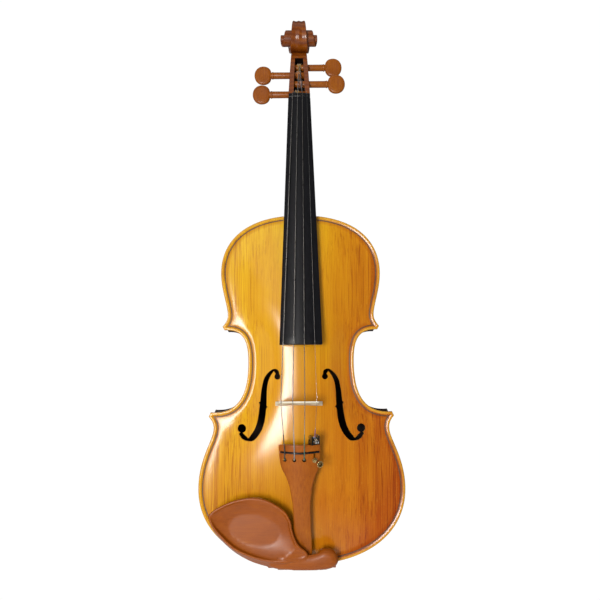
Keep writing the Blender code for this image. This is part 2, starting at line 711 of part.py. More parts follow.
LAST = STEPS
for side in (-1, 1):
    for i in range(START, LAST):
        if i + TURN <= LAST - 1:
            sf.append([edge_v(i, side), edge_v(i + 1, side), base_v(i + 1, side), base_v(i, side)])
            sf.append([base_v(i, side), base_v(i + 1, side), edge_v(i + 1 + TURN, side), edge_v(i + TURN, side)])
    # the eye: a fan inside the last turn
    w = spiral(LAST)[1]
    c = put(("c", side), (side * w, EYE_Z, EYE_H))
    for i in range(LAST - TURN, LAST):
        sf.append([edge_v(i, side), edge_v(i + 1, side), c])
    sf.append([c, edge_v(LAST - TURN, side), base_v(LAST - TURN, side), edge_v(LAST, side)])
for i in range(START, START + TURN - 1):
    sf.append([edge_v(i, 1), edge_v(i + 1, 1), edge_v(i + 1, -1), edge_v(i, -1)])
i = START + TURN - 1
sf.append([edge_v(i, 1), edge_v(i + 1, 1), base_v(START, 1), base_v(START, -1), edge_v(i + 1, -1), edge_v(i, -1)])
sf.append([edge_v(START, 1), base_v(START, 1), base_v(START, -1), edge_v(START, -1)])
scroll = mesh_object("scroll", sv, sf, None)
boolean(neck, scroll, "UNION")

# the trough in the pegbox and the peg holes through its cheeks
secs = []
for z, hf, hb, w in ((488.7, -8.6, -20.2, 6.2), (491.2, -8.4, -21.0, 6.2), (491.6, 5, -21.2, 6.2), (505, 0, -27.5, 5.9), (520, -6, -34.5, 5.5), (535, -14, -41.5, 5.0), (545.5, -20, -46.0, 4.6)):
    secs.append([(-w, z, hf), (w, z, hf), (w, z, hb), (-w, z, hb)])
boolean(neck, loft("trough", secs))
for name, (z, h) in zip("gdae", PEG_ZH):
    boolean(neck, rod("peg_hole_" + name, PEG_R + 0.35, W(-30, z, h), W(30, z, h), sides=16))

# fingerboard and nut
secs = []
for z in (FB_END_Z, NUT_Z - GAP):
    w = fb_width(z) / 2
    arcp = []
    for k in range(9):
        x = -w + 2 * w * k / 8
        arcp.append((x, z, fb_top(z) - (FB_R - math.sqrt(FB_R ** 2 - x * x))))
    secs.append(arcp + [(w, z, fb_low(z)), (-w, z, fb_low(z))])
loft("fingerboard", secs, "ebony")
nz0, nz1 = NUT_Z + 0.0, 490.6
secs = []
for z, rise in ((nz0, 0.35), (nz0 + 1.2, 0.75), (nz1 - 1.2, 0.3), (nz1, -1.0)):
    arcp = [(x, z, FB_TOP0 + (486 - nz0) * FB_SLOPE + rise - (FB_R - math.sqrt(FB_R ** 2 - x * x)))
            for x in np.linspace(-11.8, 11.8, 7)]
    lowh = fb_low(nz0) - 0.0 if z < nz0 + 0.5 else max(fb_low(nz0), -8.0)
    secs.append(arcp + [(11.8, z, -5.6), (-11.8, z, -5.6)])
loft("nut", secs, "ebony")
boolean(neck, box("nut_seat", (-14, 14), (NUT_Z - 0.7, nz1 + GAP), (-5.9, 4)))

# ------------------------------------------------------------------ pegs and strings
for k, name in enumerate("gdae"):
    z, h = PEG_ZH[k]
    s = PEG_SIDE[k]
    at = W(0, z, h)
    cheek = 11.6 - (z - 490) * 0.04
    hx = PEG_HEAD[k]
    peg = turned("peg_" + name, [(0, hx - 2), (2.6, hx - 2), (3.3, hx - 6), (3.4, hx - 9.8), (3.95, hx - 10.4), (3.95, hx - 12.0), (PEG_R + 0.1, hx - 12.5),
                                 (PEG_R, cheek + 2.5), (PEG_R, -cheek + 0.4), (PEG_R - 0.6, -cheek - 0.3), (0, -cheek - 0.3)],
                 at, (s, 0, 0), "boxwood", steps=12)
    bm = bmesh.new()
    bmesh.ops.create_uvsphere(bm, u_segments=12, v_segments=8, radius=1.0)
    for v in bm.verts:
        q = v.co.copy()
        v.co = Vector((q.x * 9.8, q.y * 3.7, q.z * 10.8)) * MM
    me = bpy.data.meshes.new("peg_head")
    bm.to_mesh(me)
    bm.free()
    head = bpy.data.objects.new("peg_head_" + name, me)
    parts.objects.link(head)
    head.location = at + Vector((s * hx * MM, 0, 0))
    boolean(peg, head, "UNION")
    # the wound end of the string: a turned sleeve on the peg
    c = (-4.2, -0.8, 0.8, 3.8)[k] * 0.5
    r0, r1 = PEG_R + 0.35, PEG_R + 0.35 + 2 * max(STRING_R[k], 0.3)
    hw = 2.4
    ring_w = turned("string_%s_winding" % name, [(r0, hw), (r1 - 0.15, hw), (r1, hw - 0.2), (r1, -hw + 0.2), (r1 - 0.15, -hw), (r0, -hw), (r0, hw)],
                    at, (1, 0, 0), "string_metal", steps=14)
    for v in ring_w.data.vertices:
        v.co.z += c * MM


def bridge_h(x):
    u = x - BRIDGE_X
    return BRIDGE_TOP - (FB_R - math.sqrt(FB_R ** 2 - u * u))


def tail_axis(z):
    return 1.2 - (z - 6.0) * 0.029


def tail_top(z):
    """Top of the tailpiece along its middle."""
    return 12.4 + (z - 6.0) * 0.183


TAIL_R = 36.0


def tail_surface(x, z):
    u = x - tail_axis(z)
    return tail_top(z) - (TAIL_R - math.sqrt(TAIL_R ** 2 - u * u))


for k, name in enumerate("gdae"):
    z, h = PEG_ZH[k]
    r = STRING_R[k]
    xn, xb, xt = STRING_NUT_X[k], STRING_BRIDGE_X[k], STRING_TAIL_X[k]
    xw = (-4.2, -0.8, 0.8, 3.8)[k] * 0.5
    reach = PEG_R + 0.32 + 2 * max(r, 0.3) + r + 0.32
    # from the front of the winding, over the nut, the bridge and the fret
    hn = FB_TOP0 + 0.85 + r + 0.3 - (FB_R - math.sqrt(FB_R ** 2 - xn ** 2))
    pts = [(xw, z - 1.0, h + reach)]
    if name == "g":
        pts.append((xn * 0.8 + xw * 0.2, nz1 + r + 0.35, hn - 1.9))
    pts += [(xn, nz1 - 1.0, hn - 0.3), (xn, nz0 + 1.0, hn + 0.05)]
    zb = BRIDGE_Z + BRIDGE_LEAN
    pts += [(xb, zb + 1.0, bridge_h(xb) + r + 0.33), (xb, zb - 1.0, bridge_h(xb) + r + 0.3)]
    if name != "e":
        pts += [(xt, 114.4, tail_surface(xt, 114) + 0.9 + r + 0.4), (xt, 112.2, tail_surface(xt, 112) + 0.9 + r + 0.3),
                (xt, 107.2, tail_surface(xt, 107) - 0.6), (xt, 105.6, tail_surface(xt, 106) - 3.2)]
    else:
        pts += [(TUNER_X + 0.2, 127.6, 36.0 - r)]
    wire("string_" + name, r, pts, "string_metal")

# ------------------------------------------------------------------ bridge
BR = [(-22.9, 0.0), (-23.5, 1.6), (-20.5, 5.2), (-18.6, 9.0), (-20.3, 12.4), (-22.0, 16.5), (-21.4, 20.4), (-20.0, 23.5)]
outl = [(-12.0, 0.0)] + BR
n_top = 9
for k in range(n_top):
    u = -18.8 + 37.6 * k / (n_top - 1)
    outl.append((u, BRIDGE_TOP - 11.0 - (FB_R - math.sqrt(FB_R ** 2 - u * u))))
outl += [(-x, y) for x, y in BR[::-1]] + [(12.0, 0.0), (10.5, 3.6), (5.0, 6.2), (0.0, 7.0), (-5.0, 6.2), (-10.5, 3.6)]
FOOT = max(arch(BRIDGE_X + u, BRIDGE_Z, ARCH_TOP) for u in (-12.0, 12.0)) + 0.35
full = BRIDGE_TOP - FOOT
sc = full / (BRIDGE_TOP - 11.0)


def bridge_pt(u, y, face):
    y = y * sc
    t = y / full
    half = 2.1 * (1 - t) + 0.75 * t
    z = BRIDGE_Z + BRIDGE_LEAN * t
    return (BRIDGE_X + u, z + face * half, FOOT + y)


n = len(outl)
v = [W(*bridge_pt(u, y, -1)) for u, y in outl] + [W(*bridge_pt(u, y, 1)) for u, y in outl]
f = [list(range(n)), list(range(2 * n - 1, n - 1, -1))] + [[i, (i + 1) % n, n + (i + 1) % n, n + i] for i in range(n)]
bridge = mesh_object("bridge", v, f, "bridge_maple", smooth=False)
# outer toes drop to meet the falling arch
for uu in (-1, 1):
    toe = [(uu * 13.0, 0.6), (uu * 22.6, 0.6), (uu * 22.9, -min(2.2, FOOT - 0.35 - arch(BRIDGE_X + uu * 23.2, BRIDGE_Z, ARCH_TOP)))]
    m = 3
    tv = [W(BRIDGE_X + u, BRIDGE_Z - 2.0, FOOT + y) for u, y in toe] + [W(BRIDGE_X + u, BRIDGE_Z + 2.0, FOOT + y) for u, y in toe]
    tf = [[0, 1, 2], [5, 4, 3]] + [[i, (i + 1) % m, m + (i + 1) % m, m + i] for i in range(m)]
    boolean(bridge, mesh_object("toe", tv, tf, None, smooth=False), "UNION")

def drill(u, y, r, name):
    """A hole through the bridge, front to back."""
    p, q = bridge_pt(u, y, -1), bridge_pt(u, y, 1)
    a, b = W(p[0], p[1] - 4, p[2]), W(q[0], q[1] + 4, q[2])
    boolean(bridge, rod(name, r, a, b, sides=12))


drill(0, 17.5, 3.6, "heart")
drill(-15.4, 20.0, 2.5, "eye_left")
drill(15.4, 20.0, 2.5, "eye_right")
# the waists that bite in at each side over the feet
drill(-20.6, 9.0, 2.5, "waist_left")
drill(20.6, 9.0, 2.5, "waist_right")

# ------------------------------------------------------------------ tail end
saddle = loft("saddle", [[(x, -0.2, -2.2), (x, 2.9, -2.2), (x, 2.9, 0.35), (x, 5.6, 0.35), (x, 5.2, 1.6), (x, 3.4, 3.6), (x, 1.6, 4.0), (x, -0.2, 3.2)]
                         for x in (-17.0, 17.0)], "ebony", smooth=False)

pin = turned("end_pin", [(0, 0), (5.6, 0), (6.9, 1.2), (7.1, 2.6), (6.0, 4.6), (4.4, 5.6), (4.2, 7.2), (5.0, 8.6), (6.2, 9.3), (6.2, 10.3),
                         (3.65, 10.35), (3.4, 31.0), (0, 31.0)][::-1],
             W(0, -8.4, END_PIN_H), (0, 0, 1), "boxwood", steps=18)

gut_r = 0.9
gut = []
for s in (-1, 1):
    side_pts = [(s * 2.6 + 1.3, 30.0, tail_top(30) - 7.6), (s * 2.8 + 1.0, 16.0, 7.4), (s * 3.2 + 0.6, 7.0, 5.6),
                (s * 3.6, 2.6, 5.3), (s * 4.0, -0.9, 4.2), (s * 4.4, -1.6, 0), (s * 5.0, -1.7, -12.0), (s * 5.55, -1.7, END_PIN_H)]
    gut.append(side_pts)
bend = [(5.55 * math.cos(a), -1.7, END_PIN_H - 5.55 * math.sin(a)) for a in np.linspace(math.pi, 0, 9)[1:-1]]
route = gut[0] + bend + gut[1][::-1]
wire("tail_gut", gut_r, route, "nylon")

TAIL = ((8.0, 6.2), (11, 8.0), (18, 8.8), (30, 8.5), (43, 8.3), (62, 8.5), (72, 9.6), (82, 11.4), (90, 14.2), (96, 17.2), (101, 18.8), (110, 19.8), (120.5, 20.2))
secs = []
for z, w in TAIL:
    c = tail_axis(z)
    arcp = []
    for k in range(9):
        x = c - w + 2 * w * k / 8
        arcp.append((x, z, tail_surface(x, z)))
    e = min(3.0, 1.6 + w * 0.09)
    lowp = []
    hollow = 0.0 if z > 118 or z < 26 else 1.0
    th = 5.0 if z < 90 else 5.0
    base = tail_surface(c - w, z) - e
    lowp = [(c + w, z, base), (c + w * 0.7, z, min(base, tail_surface(c + w * .7, z) - th)),
            (c, z, tail_top(z) - th - 0.8), (c - w * 0.7, z, min(base, tail_surface(c - w * .7, z) - th)), (c - w, z, base)]
    secs.append(arcp + lowp)
tail = loft("tailpiece", secs, "boxwood")
for k, x in enumerate(STRING_TAIL_X):
    zc = 106.2
    boolean(tail, rod("key_hole_%d" % k, 1.9, W(x, zc, 20), W(x, zc, 45), sides=12))
    boolean(tail, box("key_slot_%d" % k, (x - 0.75, x + 0.75), (zc, 112.6), (20, 45)))
for s in (-1, 1):
    boolean(tail, rod("gut_hole_%d" % s, 1.4, W(s * 2.6 + 1.3 + s * -0.05, 21.0, tail_top(30) - 7.6 - 1.4), W(s * 2.6 + 1.3, 31.5, tail_top(30) - 7.6 + 0.2), sides=10))
# slot across the tailpiece for the fret bar
fret_sec, slot_sec = [], []
for x in np.linspace(-20.6, 17.0, 9):
    t = tail_surface(x, 113.5)
    dz = -0.9 * (1 - abs(x + 1.9) / 19.0)
    slot_sec.append([(x, 112.4 + dz, t - 1.2), (x, 114.8 + dz, t - 1.2), (x, 114.8 + dz, t + 3), (x, 112.4 + dz, t + 3)])
    fret_sec.append([(x, 112.8 + dz, t - 0.85), (x, 114.4 + dz, t - 0.85), (x, 114.2 + dz, t + 0.7), (x, 113.6 + dz, t + 0.9), (x, 113.0 + dz, t + 0.7)])
ends = [[tuple(p + (p - q) * 0.7 for p, q in zip(u, v)) for u, v in zip(slot_sec[a], slot_sec[b])] for a, b in ((0, 1), (-1, -2))]
slot_sec = [ends[0]] + slot_sec + [ends[1]]
boolean(tail, loft("fret_slot", slot_sec, smooth=False))
loft("tailpiece_fret", fret_sec, "ebony", smooth=False)

# ------------------------------------------------------------------ fine tuner
tx = TUNER_X
tilt = math.asin((tx - tail_axis(TUNER_Z)) / TAIL_R)
t0 = tail_surface(tx, TUNER_Z)
TN = Vector((math.sin(tilt), -math.cos(tilt) * math.cos(0.181), -math.sin(0.181) * math.cos(tilt))).normalized()
TU = Vector((0, -math.sin(0.181), math.cos(0.181)))
TU = (TU - TN * TU.dot(TN)).normalized()
TS = TU.cross(TN).normalized()
TP = W(tx, TUNER_Z, t0)


def T(s, u, n):
    """Tuner millimetres: across, towards the bridge, out of the tailpiece."""
    return TP + (TS * s + TU * u + TN * n) * MM


def tuner_prism(name, outline, half, mat=None):
    """A plate lying in the tuner's mid plane, outline in (u, n)."""
    m = len(outline)
    v = [T(-half, u, q) for u, q in outline] + [T(half, u, q) for u, q in outline]
    f = [list(range(m)), list(range(2 * m - 1, m - 1, -1))] + [[i, (i + 1) % m, m + (i + 1) % m, m + i] for i in range(m)]
    return mesh_object(name, v, f, mat, smooth=False)


def tuner_block(name, s, u, n, mat=None):
    v = [T(a, b, c) for a in s for b in u for c in n]
    f = [[0, 1, 3, 2], [4, 6, 7, 5], [0, 4, 5, 1], [2, 3, 7, 6], [0, 2, 6, 4], [1, 5, 7, 3]]
    return mesh_object(name, v, f, mat, smooth=False)


# the frame lies under the tailpiece; its sleeve comes up through the hole, with a collar on top
frame = tuner_block("tuner_frame", (-2.9, 2.9), (-3.5, 16.4), (-8.1, -6.8), "black_metal")
boolean(frame, rod("tuner_sleeve", 1.9, T(0, 0, -7.2), T(0, 0, 1.2), sides=16), "UNION")
boolean(frame, rod("tuner_collar", 2.5, T(0, 0, 0.5), T(0, 0, 1.7), sides=16), "UNION")
boolean(frame, tuner_block("tuner_end", (-3.2, 3.2), (15.3, 16.7), (-7.7, 1.6)), "UNION")
boolean(frame, tuner_block("tuner_ear_l", (-4.15, -2.9), (15.45, 24.2), (-2.5, 3.2)), "UNION")
boolean(frame, tuner_block("tuner_ear_r", (2.9, 4.15), (15.45, 24.2), (-2.5, 3.2)), "UNION")
boolean(frame, rod("tuner_bore", 1.5, T(0, 0, -10), T(0, 0, 8), sides=14))
boolean(frame, rod("tuner_axle_hole", 0.95, T(-7, PIVOT_U, 0.0), T(7, PIVOT_U, 0.0), sides=12))
boolean(tail, rod("tuner_clear", 2.25, T(0, 0, -14), T(0, 0, 6), sides=16))

PIV = T(0, PIVOT_U, 0.0)
lever = tuner_prism("tuner_lever", [(17.8, -1.8), (22.8, -1.8), (23.0, 0.6), (21.5, 2.0), (20.9, 2.5), (20.7, 5.4), (19.7, 6.6), (17.9, 6.2),
                                    (17.8, 5.3), (19.2, 5.2), (19.3, 2.3), (17.8, 1.2)], 1.7, "steel")
lever.data.transform(Matrix.Translation(-PIV))
lever.location = PIV
boolean(lever, rod("tuner_axle", 0.62, T(-4.0, PIVOT_U, 0.0), T(4.0, PIVOT_U, 0.0), sides=12), "UNION")
# long arm: down past the tailpiece's front edge, then back under the frame to the screw's tip
arm = [(18.0, -1.0), (20.9, -1.2), (20.2, -12.0), (-2.0, -12.0), (-2.0, -10.6), (17.5, -10.6)]
boolean(lever, tuner_prism("tuner_arm", arm, 1.5), "UNION")

screw = turned("tuner_screw", [(0, -10.3), (0.8, -10.2), (1.15, -9.4), (1.15, 8.4), (0, 8.4)][::-1], T(0, 0, 0), TN, "brass", steps=12)
knob = turned("tuner_knob", [(1.2, 7.0), (1.9, 7.2), (3.0, 9.6), (3.2, 10.2), (3.2, 13.2), (2.9, 13.5), (2.3, 13.5), (2.1, 13.2), (1.9, 11.2), (0, 11.0)][::-1]
              + [], T(0, 0, 0), TN, "brass", steps=16)
# its underside is open for the shank's end, with a running gap
knob.data.clear_geometry()
kp = [(0, 11.0), (1.9, 11.2), (2.3, 13.3), (2.9, 13.4), (3.2, 13.0), (3.2, 10.2), (3.0, 9.6), (1.9, 7.2), (1.55, 7.0), (1.5, 8.8), (0, 8.8)]
kpv = [Vector((r * MM, 0, a * MM)) for r, a in kp]
knob.data.from_pydata(kpv, [(i, i + 1) for i in range(len(kpv) - 1)], [])

# ------------------------------------------------------------------ chin rest
RIM = [(-90, 52), (-86.5, 43), (-78, 33), (-66, 22.5), (-52, 15.5), (-38, 11.5), (-22, 8.5), (-5, 6), (10, 4.6), (24, 4.8), (31, 7.0),
       (34.5, 12.5), (33, 19), (27.5, 22.6), (20.5, 22.8), (15, 19.5), (8, 18.0), (0, 18.4), (-4, 22), (-6.6, 30), (-9.5, 40), (-11, 48),
       (-15.5, 56), (-23, 62), (-33.5, 67.5), (-46, 70), (-59, 69), (-70, 66), (-81, 61), (-88, 56)]
BASE = [(-89, 51), (-88, 41), (-81.5, 31.0), (-68, 18.6), (-57, 11.6), (-46, 6.6), (-29.5, 2.2), (-15.5, 0.6), (4, -0.1), (22, 0.9), (32, 3.8),
        (34.9, 9.5), (32, 17), (27, 20), (20.5, 20.5), (15, 18.5), (9, 17), (0, 17.4), (-5.5, 21), (-9, 29), (-12, 39), (-13.5, 47),
        (-18, 54), (-25, 59.5), (-35, 64.5), (-46, 66.5), (-58, 65.5), (-69, 62.5), (-79, 57.5), (-86, 54)]
RIM_H, BASE_H, DISH = 24.0, 12.0, 6.0
rim = closed_path(RIM, 2)
base = closed_path(BASE, 2)


def shrink(loop, d):
    """A loop moved in by d."""
    P = np.array(loop)
    t = np.roll(P, -1, 0) - np.roll(P, 1, 0)
    t /= np.linalg.norm(t, axis=1)[:, None]
    area = np.sum(P[:, 0] * np.roll(P[:, 1], -1) - np.roll(P[:, 0], -1) * P[:, 1])
    n = np.stack([-t[:, 1], t[:, 0]], axis=1) * (1 if area > 0 else -1)
    return P + n * d


def dish_h(x, z):
    """The plate hollows out towards its middle, and the arm stays full."""
    u, v = (x + 46.0) / 43.0, (z - 40.0 - (x + 46) * -0.12) / 27.0
    s = max(0.0, 1 - (u * u + v * v))
    return RIM_H - 0.6 - DISH * min(1.0, s * 1.6) ** 0.8


inner = shrink(rim, 2.4)
pts, faces, loops = [], [], []
for loop, hh in ((base, lambda x, z: BASE_H), (rim, lambda x, z: RIM_H - 1.0), (shrink(rim, 0.9), lambda x, z: RIM_H), (inner, dish_h)):
    loops.append(list(range(len(pts), len(pts) + len(loop))))
    pts += [(p[0], p[1], hh(p[0], p[1])) for p in loop]
n = len(loops[0])
for a, b in zip(loops, loops[1:]):
    faces += [[a[i], a[(i + 1) % n], b[(i + 1) % n], b[i]] for i in range(n)]
faces += cap_faces(loops[-1], pts, dish_h, 9.0)
faces += cap_faces(loops[0], pts, lambda x, z: BASE_H, 40.0)
chin = mesh_object("chin_rest", [W(*p) for p in pts], faces, "boxwood")
boolean(chin, box("tail_channel", (-14.37, 16.31), (-9, 33.1), (0, 17.4)))
boolean(chin, box("leg_left", (-33, -17.6), (1.9, 10.5), (2.9, 12.6)), "UNION")
boolean(chin, box("leg_right", (17.6, 32.6), (2.0, 10.5), (2.9, 12.6)), "UNION")
# a lip reaches down past the plate's edge at each leg, for the clamp's post
LIP = [(-0.4, -3.0), (-3.9, -3.0), (-3.9, 0.3), (-2.2, 6.0), (0.3, 12.3), (3.0, 12.3), (1.2, 3.3), (-0.4, 0.7)]
for s, (x0, x1) in ((-1, (-24.1, -17.7)), (1, (17.7, 24.1))):
    boolean(chin, loft("leg_lip_%d" % s, [[(x, z, h) for z, h in LIP] for x in (x0, x1)], smooth=False), "UNION")
for s in (-1, 1):
    boolean(chin, rod("post_hole_%d" % s, 1.65, W(s * CLAMP_X, CLAMP_Z, -6), W(s * CLAMP_X, CLAMP_Z, -0.4), sides=12))
box("chin_rest_cork_left", (-33, -17.6), (1.6, 10.5), (0.35, 2.6), "cork")
box("chin_rest_cork_right", (17.6, 32.6), (1.9, 10.5), (0.35, 2.6), "cork")

# clamp: posts hang from the rest, barrels join them to the lower bracket
up = box("clamp_bracket_upper", (-22.5, 22.5), (-4.2, -2.9), (-5.0, -3.4), "steel")
for s in (-1, 1):
    boolean(up, rod("post_%d" % s, 1.3, W(s * CLAMP_X, CLAMP_Z, -13.0), W(s * CLAMP_X, CLAMP_Z, -0.75), sides=12), "UNION")
for s, word in ((-1, "left"), (1, "right")):
    turned("clamp_barrel_" + word, [(1.65, 13.0), (2.3, 13.0), (2.3, -13.0), (1.65, -13.0), (1.65, 13.0)],
           W(s * CLAMP_X, CLAMP_Z, -19.0), (0, 1, 0), "steel", steps=14)
low_b = box("clamp_bracket_lower", (-25, 25), (-4.8, 8.5), (-43.2, -41.6), "steel")
for s in (-1, 1):
    boolean(low_b, rod("low_post_%d" % s, 1.3, W(s * CLAMP_X, CLAMP_Z, -42.0), W(s * CLAMP_X, CLAMP_Z, -25.0), sides=12), "UNION")
boolean(low_b, box("foot_pad", (-24.9, 24.9), (1.9, 8.5), (-42.0, -39.4)), "UNION")
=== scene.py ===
# The violin's looks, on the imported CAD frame. Lengths in the helpers are body
# millimetres: x to the right, z up the body from the plates' lowest point, and
# h out of the front face, 0 at the edge of the top plate.
import bpy
import bmesh
import math
import numpy as np
from mathutils import Vector, Matrix
from mathutils.geometry import delaunay_2d_cdt


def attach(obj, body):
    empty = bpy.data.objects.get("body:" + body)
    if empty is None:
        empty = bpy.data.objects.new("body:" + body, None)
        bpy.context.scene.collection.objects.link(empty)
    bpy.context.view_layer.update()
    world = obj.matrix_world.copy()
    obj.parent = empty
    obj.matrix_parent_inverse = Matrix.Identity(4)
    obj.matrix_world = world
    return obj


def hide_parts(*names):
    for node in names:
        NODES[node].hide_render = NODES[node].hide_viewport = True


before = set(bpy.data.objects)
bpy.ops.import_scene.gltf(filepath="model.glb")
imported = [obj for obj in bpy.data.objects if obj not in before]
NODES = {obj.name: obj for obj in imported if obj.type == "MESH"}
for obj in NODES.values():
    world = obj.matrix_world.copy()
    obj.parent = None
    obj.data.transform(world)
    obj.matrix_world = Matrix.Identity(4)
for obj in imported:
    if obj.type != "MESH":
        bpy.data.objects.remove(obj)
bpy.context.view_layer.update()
MM = 0.001

# ------------------------------------------------------------------ dimensions, as in the CAD
HANG_Z, HANG_H = 551.0, -38.0
BODY_LENGTH, EDGE, RIB_H, OVERHANG, RIB_T = 354.0, 4.0, 31.0, 2.5, 1.2
BACK_H = -(2 * EDGE + RIB_H)
ARCH_TOP, ARCH_BACK, PLATE_T, GAP = 11.6, 11.0, 3.0, 0.3
PURF_OUT, PURF_IN = 3.8, 5.0
NUT_Z, FB_END_Z, FB_SLOPE, FB_TOP0, FB_R = 485.2, 216.5, 0.1232, -1.5, 42.0
FB_W_NUT, FB_W_END, FB_EDGE = 24.0, 42.5, 5.0
BRIDGE_X, BRIDGE_Z, BRIDGE_TOP, BRIDGE_LEAN = -2.4, 158.4, 44.6, 3.6
STRING_NUT_X = (-7.2, -1.9, 3.2, 8.1)
STRING_BRIDGE_X = (-19.4, -8.1, 3.3, 14.6)
STRING_TAIL_X = (-16.3, -7.0, 2.5, 12.3)
STRING_R = (0.42, 0.38, 0.34, 0.16)
PEG_ZH = ((494.0, -14.5), (523.0, -27.5), (535.5, -34.0), (509.0, -20.8))
PEG_SIDE = (-1, -1, 1, 1)
PEG_HEAD = (41.8, 40.9, 39.1, 41.5)
PEG_R, END_PIN_H = 3.6, -19.5
TUNER_X, TUNER_Z, PIVOT_U = 12.3, 106.0, 21.0
CLAMP_X, CLAMP_Z = 20.0, -2.1
LOWER = (((0, 0), (68, 0), (104, 32.3), (104, 74.3)),
         ((104, 74.3), (104, 104.3), (89.1, 121.6), (89.1, 133.6)),
         ((89.1, 133.6), (89.1, 138.2), (91.2, 141.6), (94.3, 145.0)))
WAIST = (((92.3, 149.4), (62, 147), (54.2, 170), (54.2, 199)),
         ((54.2, 199), (54.2, 222), (59, 233.5), (79.0, 232.9)))
UPPER = (((81.0, 236.6), (78.5, 239.5), (75.6, 243), (75.6, 248)),
         ((75.6, 248), (75.6, 258), (83.05, 275), (83.05, 293)),
         ((83.05, 293), (83.05, 325), (60, BODY_LENGTH), (0, BODY_LENGTH)))


def W(x, z, h):
    return Vector((x * MM, -(h - HANG_H) * MM, (z - HANG_Z) * MM))


def WA(p):
    """Body millimetres to world metres, for an array of points."""
    p = np.asarray(p, float)
    return np.stack([p[:, 0] * MM, -(p[:, 2] - HANG_H) * MM, (p[:, 1] - HANG_Z) * MM], axis=1)


# ------------------------------------------------------------------ materials


class Mat:
    """A node material, with short ways to add and join nodes."""

    def __init__(self, name):
        self.m = bpy.data.materials.new(name)
        self.m.use_nodes = True
        self.nt = self.m.node_tree
        self.b = self.nt.nodes["Principled BSDF"]

    def node(self, kind, ins=(), **props):
        n = self.nt.nodes.new(kind)
        for k, v in props.items():
            setattr(n, k, v)
        for k, v in dict(ins).items():
            self.put(n.inputs[k], v)
        return n

    def put(self, socket, v):
        if isinstance(v, bpy.types.NodeSocket):
            self.nt.links.new(v, socket)
        elif isinstance(v, (tuple, list)) and len(v) == 3 and len(getattr(socket, "default_value", (0,) * 3)) == 4:
            socket.default_value = (*v, 1.0)
        else:
            socket.default_value = v

    def at(self):
        """Object coordinates in millimetres: X across, Y to the back, Z up the body."""
        t = self.node("ShaderNodeTexCoord").outputs["Object"]
        return self.vec("MULTIPLY", t, (1000.0, 1000.0, 1000.0))

    def vec(self, op, a, b=None):
        ins = {0: a}
        if b is not None:
            ins[1] = b
        n = self.node("ShaderNodeVectorMath", ins, operation=op)
        return n.outputs["Value"] if op in ("DOT_PRODUCT", "LENGTH") else n.outputs["Vector"]

    def math(self, op, a, b=None, c=None, clamp=False):
        ins = {0: a}
        if b is not None:
            ins[1] = b
        if c is not None:
            ins[2] = c
        return self.node("ShaderNodeMath", ins, operation=op, use_clamp=clamp).outputs[0]

    def noise(self, vec, scale, detail=3.0, rough=0.55, distort=0.0):
        return self.node("ShaderNodeTexNoise", {"Vector": vec, "Scale": scale, "Detail": detail, "Roughness": rough,
                                                "Distortion": distort}).outputs["Fac"]

    def wave(self, vec, period, distort=0.0, detail=2.0, dscale=1.0, profile="SIN", direction="X"):
        return self.node("ShaderNodeTexWave", {"Vector": vec, "Scale": 2 * math.pi / (20.0 * period), "Distortion": distort,
                                               "Detail": detail, "Detail Scale": dscale}, wave_type="BANDS",
                         bands_direction=direction, wave_profile=profile).outputs["Fac"]

    def ramp(self, fac, stops, mode="LINEAR"):
        n = self.node("ShaderNodeValToRGB", {0: fac})
        n.color_ramp.interpolation = mode
        e = n.color_ramp.elements
        while len(e) < len(stops):
            e.new(0.5)
        for s, (p, c) in zip(e, stops):
            s.position = p
            s.color = (*c, 1.0) if not isinstance(c, float) else (c, c, c, 1.0)
        return n.outputs["Color"]

    def mix(self, fac, a, b, blend="MIX"):
        n = self.node("ShaderNodeMix", data_type="RGBA", blend_type=blend)
        self.put(n.inputs[0], fac)
        self.put(n.inputs[6], a)
        self.put(n.inputs[7], b)
        return n.outputs[2]

    def range(self, v, a, b, c=0.0, d=1.0):
        return self.node("ShaderNodeMapRange", {0: v, 1: a, 2: b, 3: c, 4: d}).outputs[0]

    def attr(self, name):
        return self.node("ShaderNodeAttribute", attribute_name=name).outputs["Fac"]

    def bump(self, height, strength, dist):
        return self.node("ShaderNodeBump", {"Height": height, "Strength": strength, "Distance": dist}).outputs["Normal"]

    def set(self, **kw):
        names = {"color": "Base Color", "rough": "Roughness", "metal": "Metallic", "normal": "Normal", "coat": "Coat Weight",
                 "coat_rough": "Coat Roughness", "spec": "Specular IOR Level", "coat_ior": "Coat IOR", "aniso": "Anisotropic",
                 "sheen": "Sheen Weight", "sss": "Subsurface Weight", "emit": "Emission Color", "emit_s": "Emission Strength",
                 "coat_normal": "Coat Normal"}
        for k, v in kw.items():
            self.put(self.b.inputs[names[k]], v)
        return self.m


LIGHT = 1.38                            # light leaving a white surface that faces the key


def lin(r, g, b, light=None):
    """The albedo that shows as this sRGB colour (0-255) in the studio light."""
    out = []
    for c in (r, g, b):
        c /= 255.0
        c = c / 12.92 if c <= 0.04045 else ((c + 0.055) / 1.055) ** 2.4
        out.append(min(0.96, max(0.0015, c / (light or LIGHT))))
    return tuple(out)


def tint(r, g, b):
    """A plain multiplier, for darkening another colour."""
    return tuple((c / 255.0) ** 2.2 for c in (r, g, b))


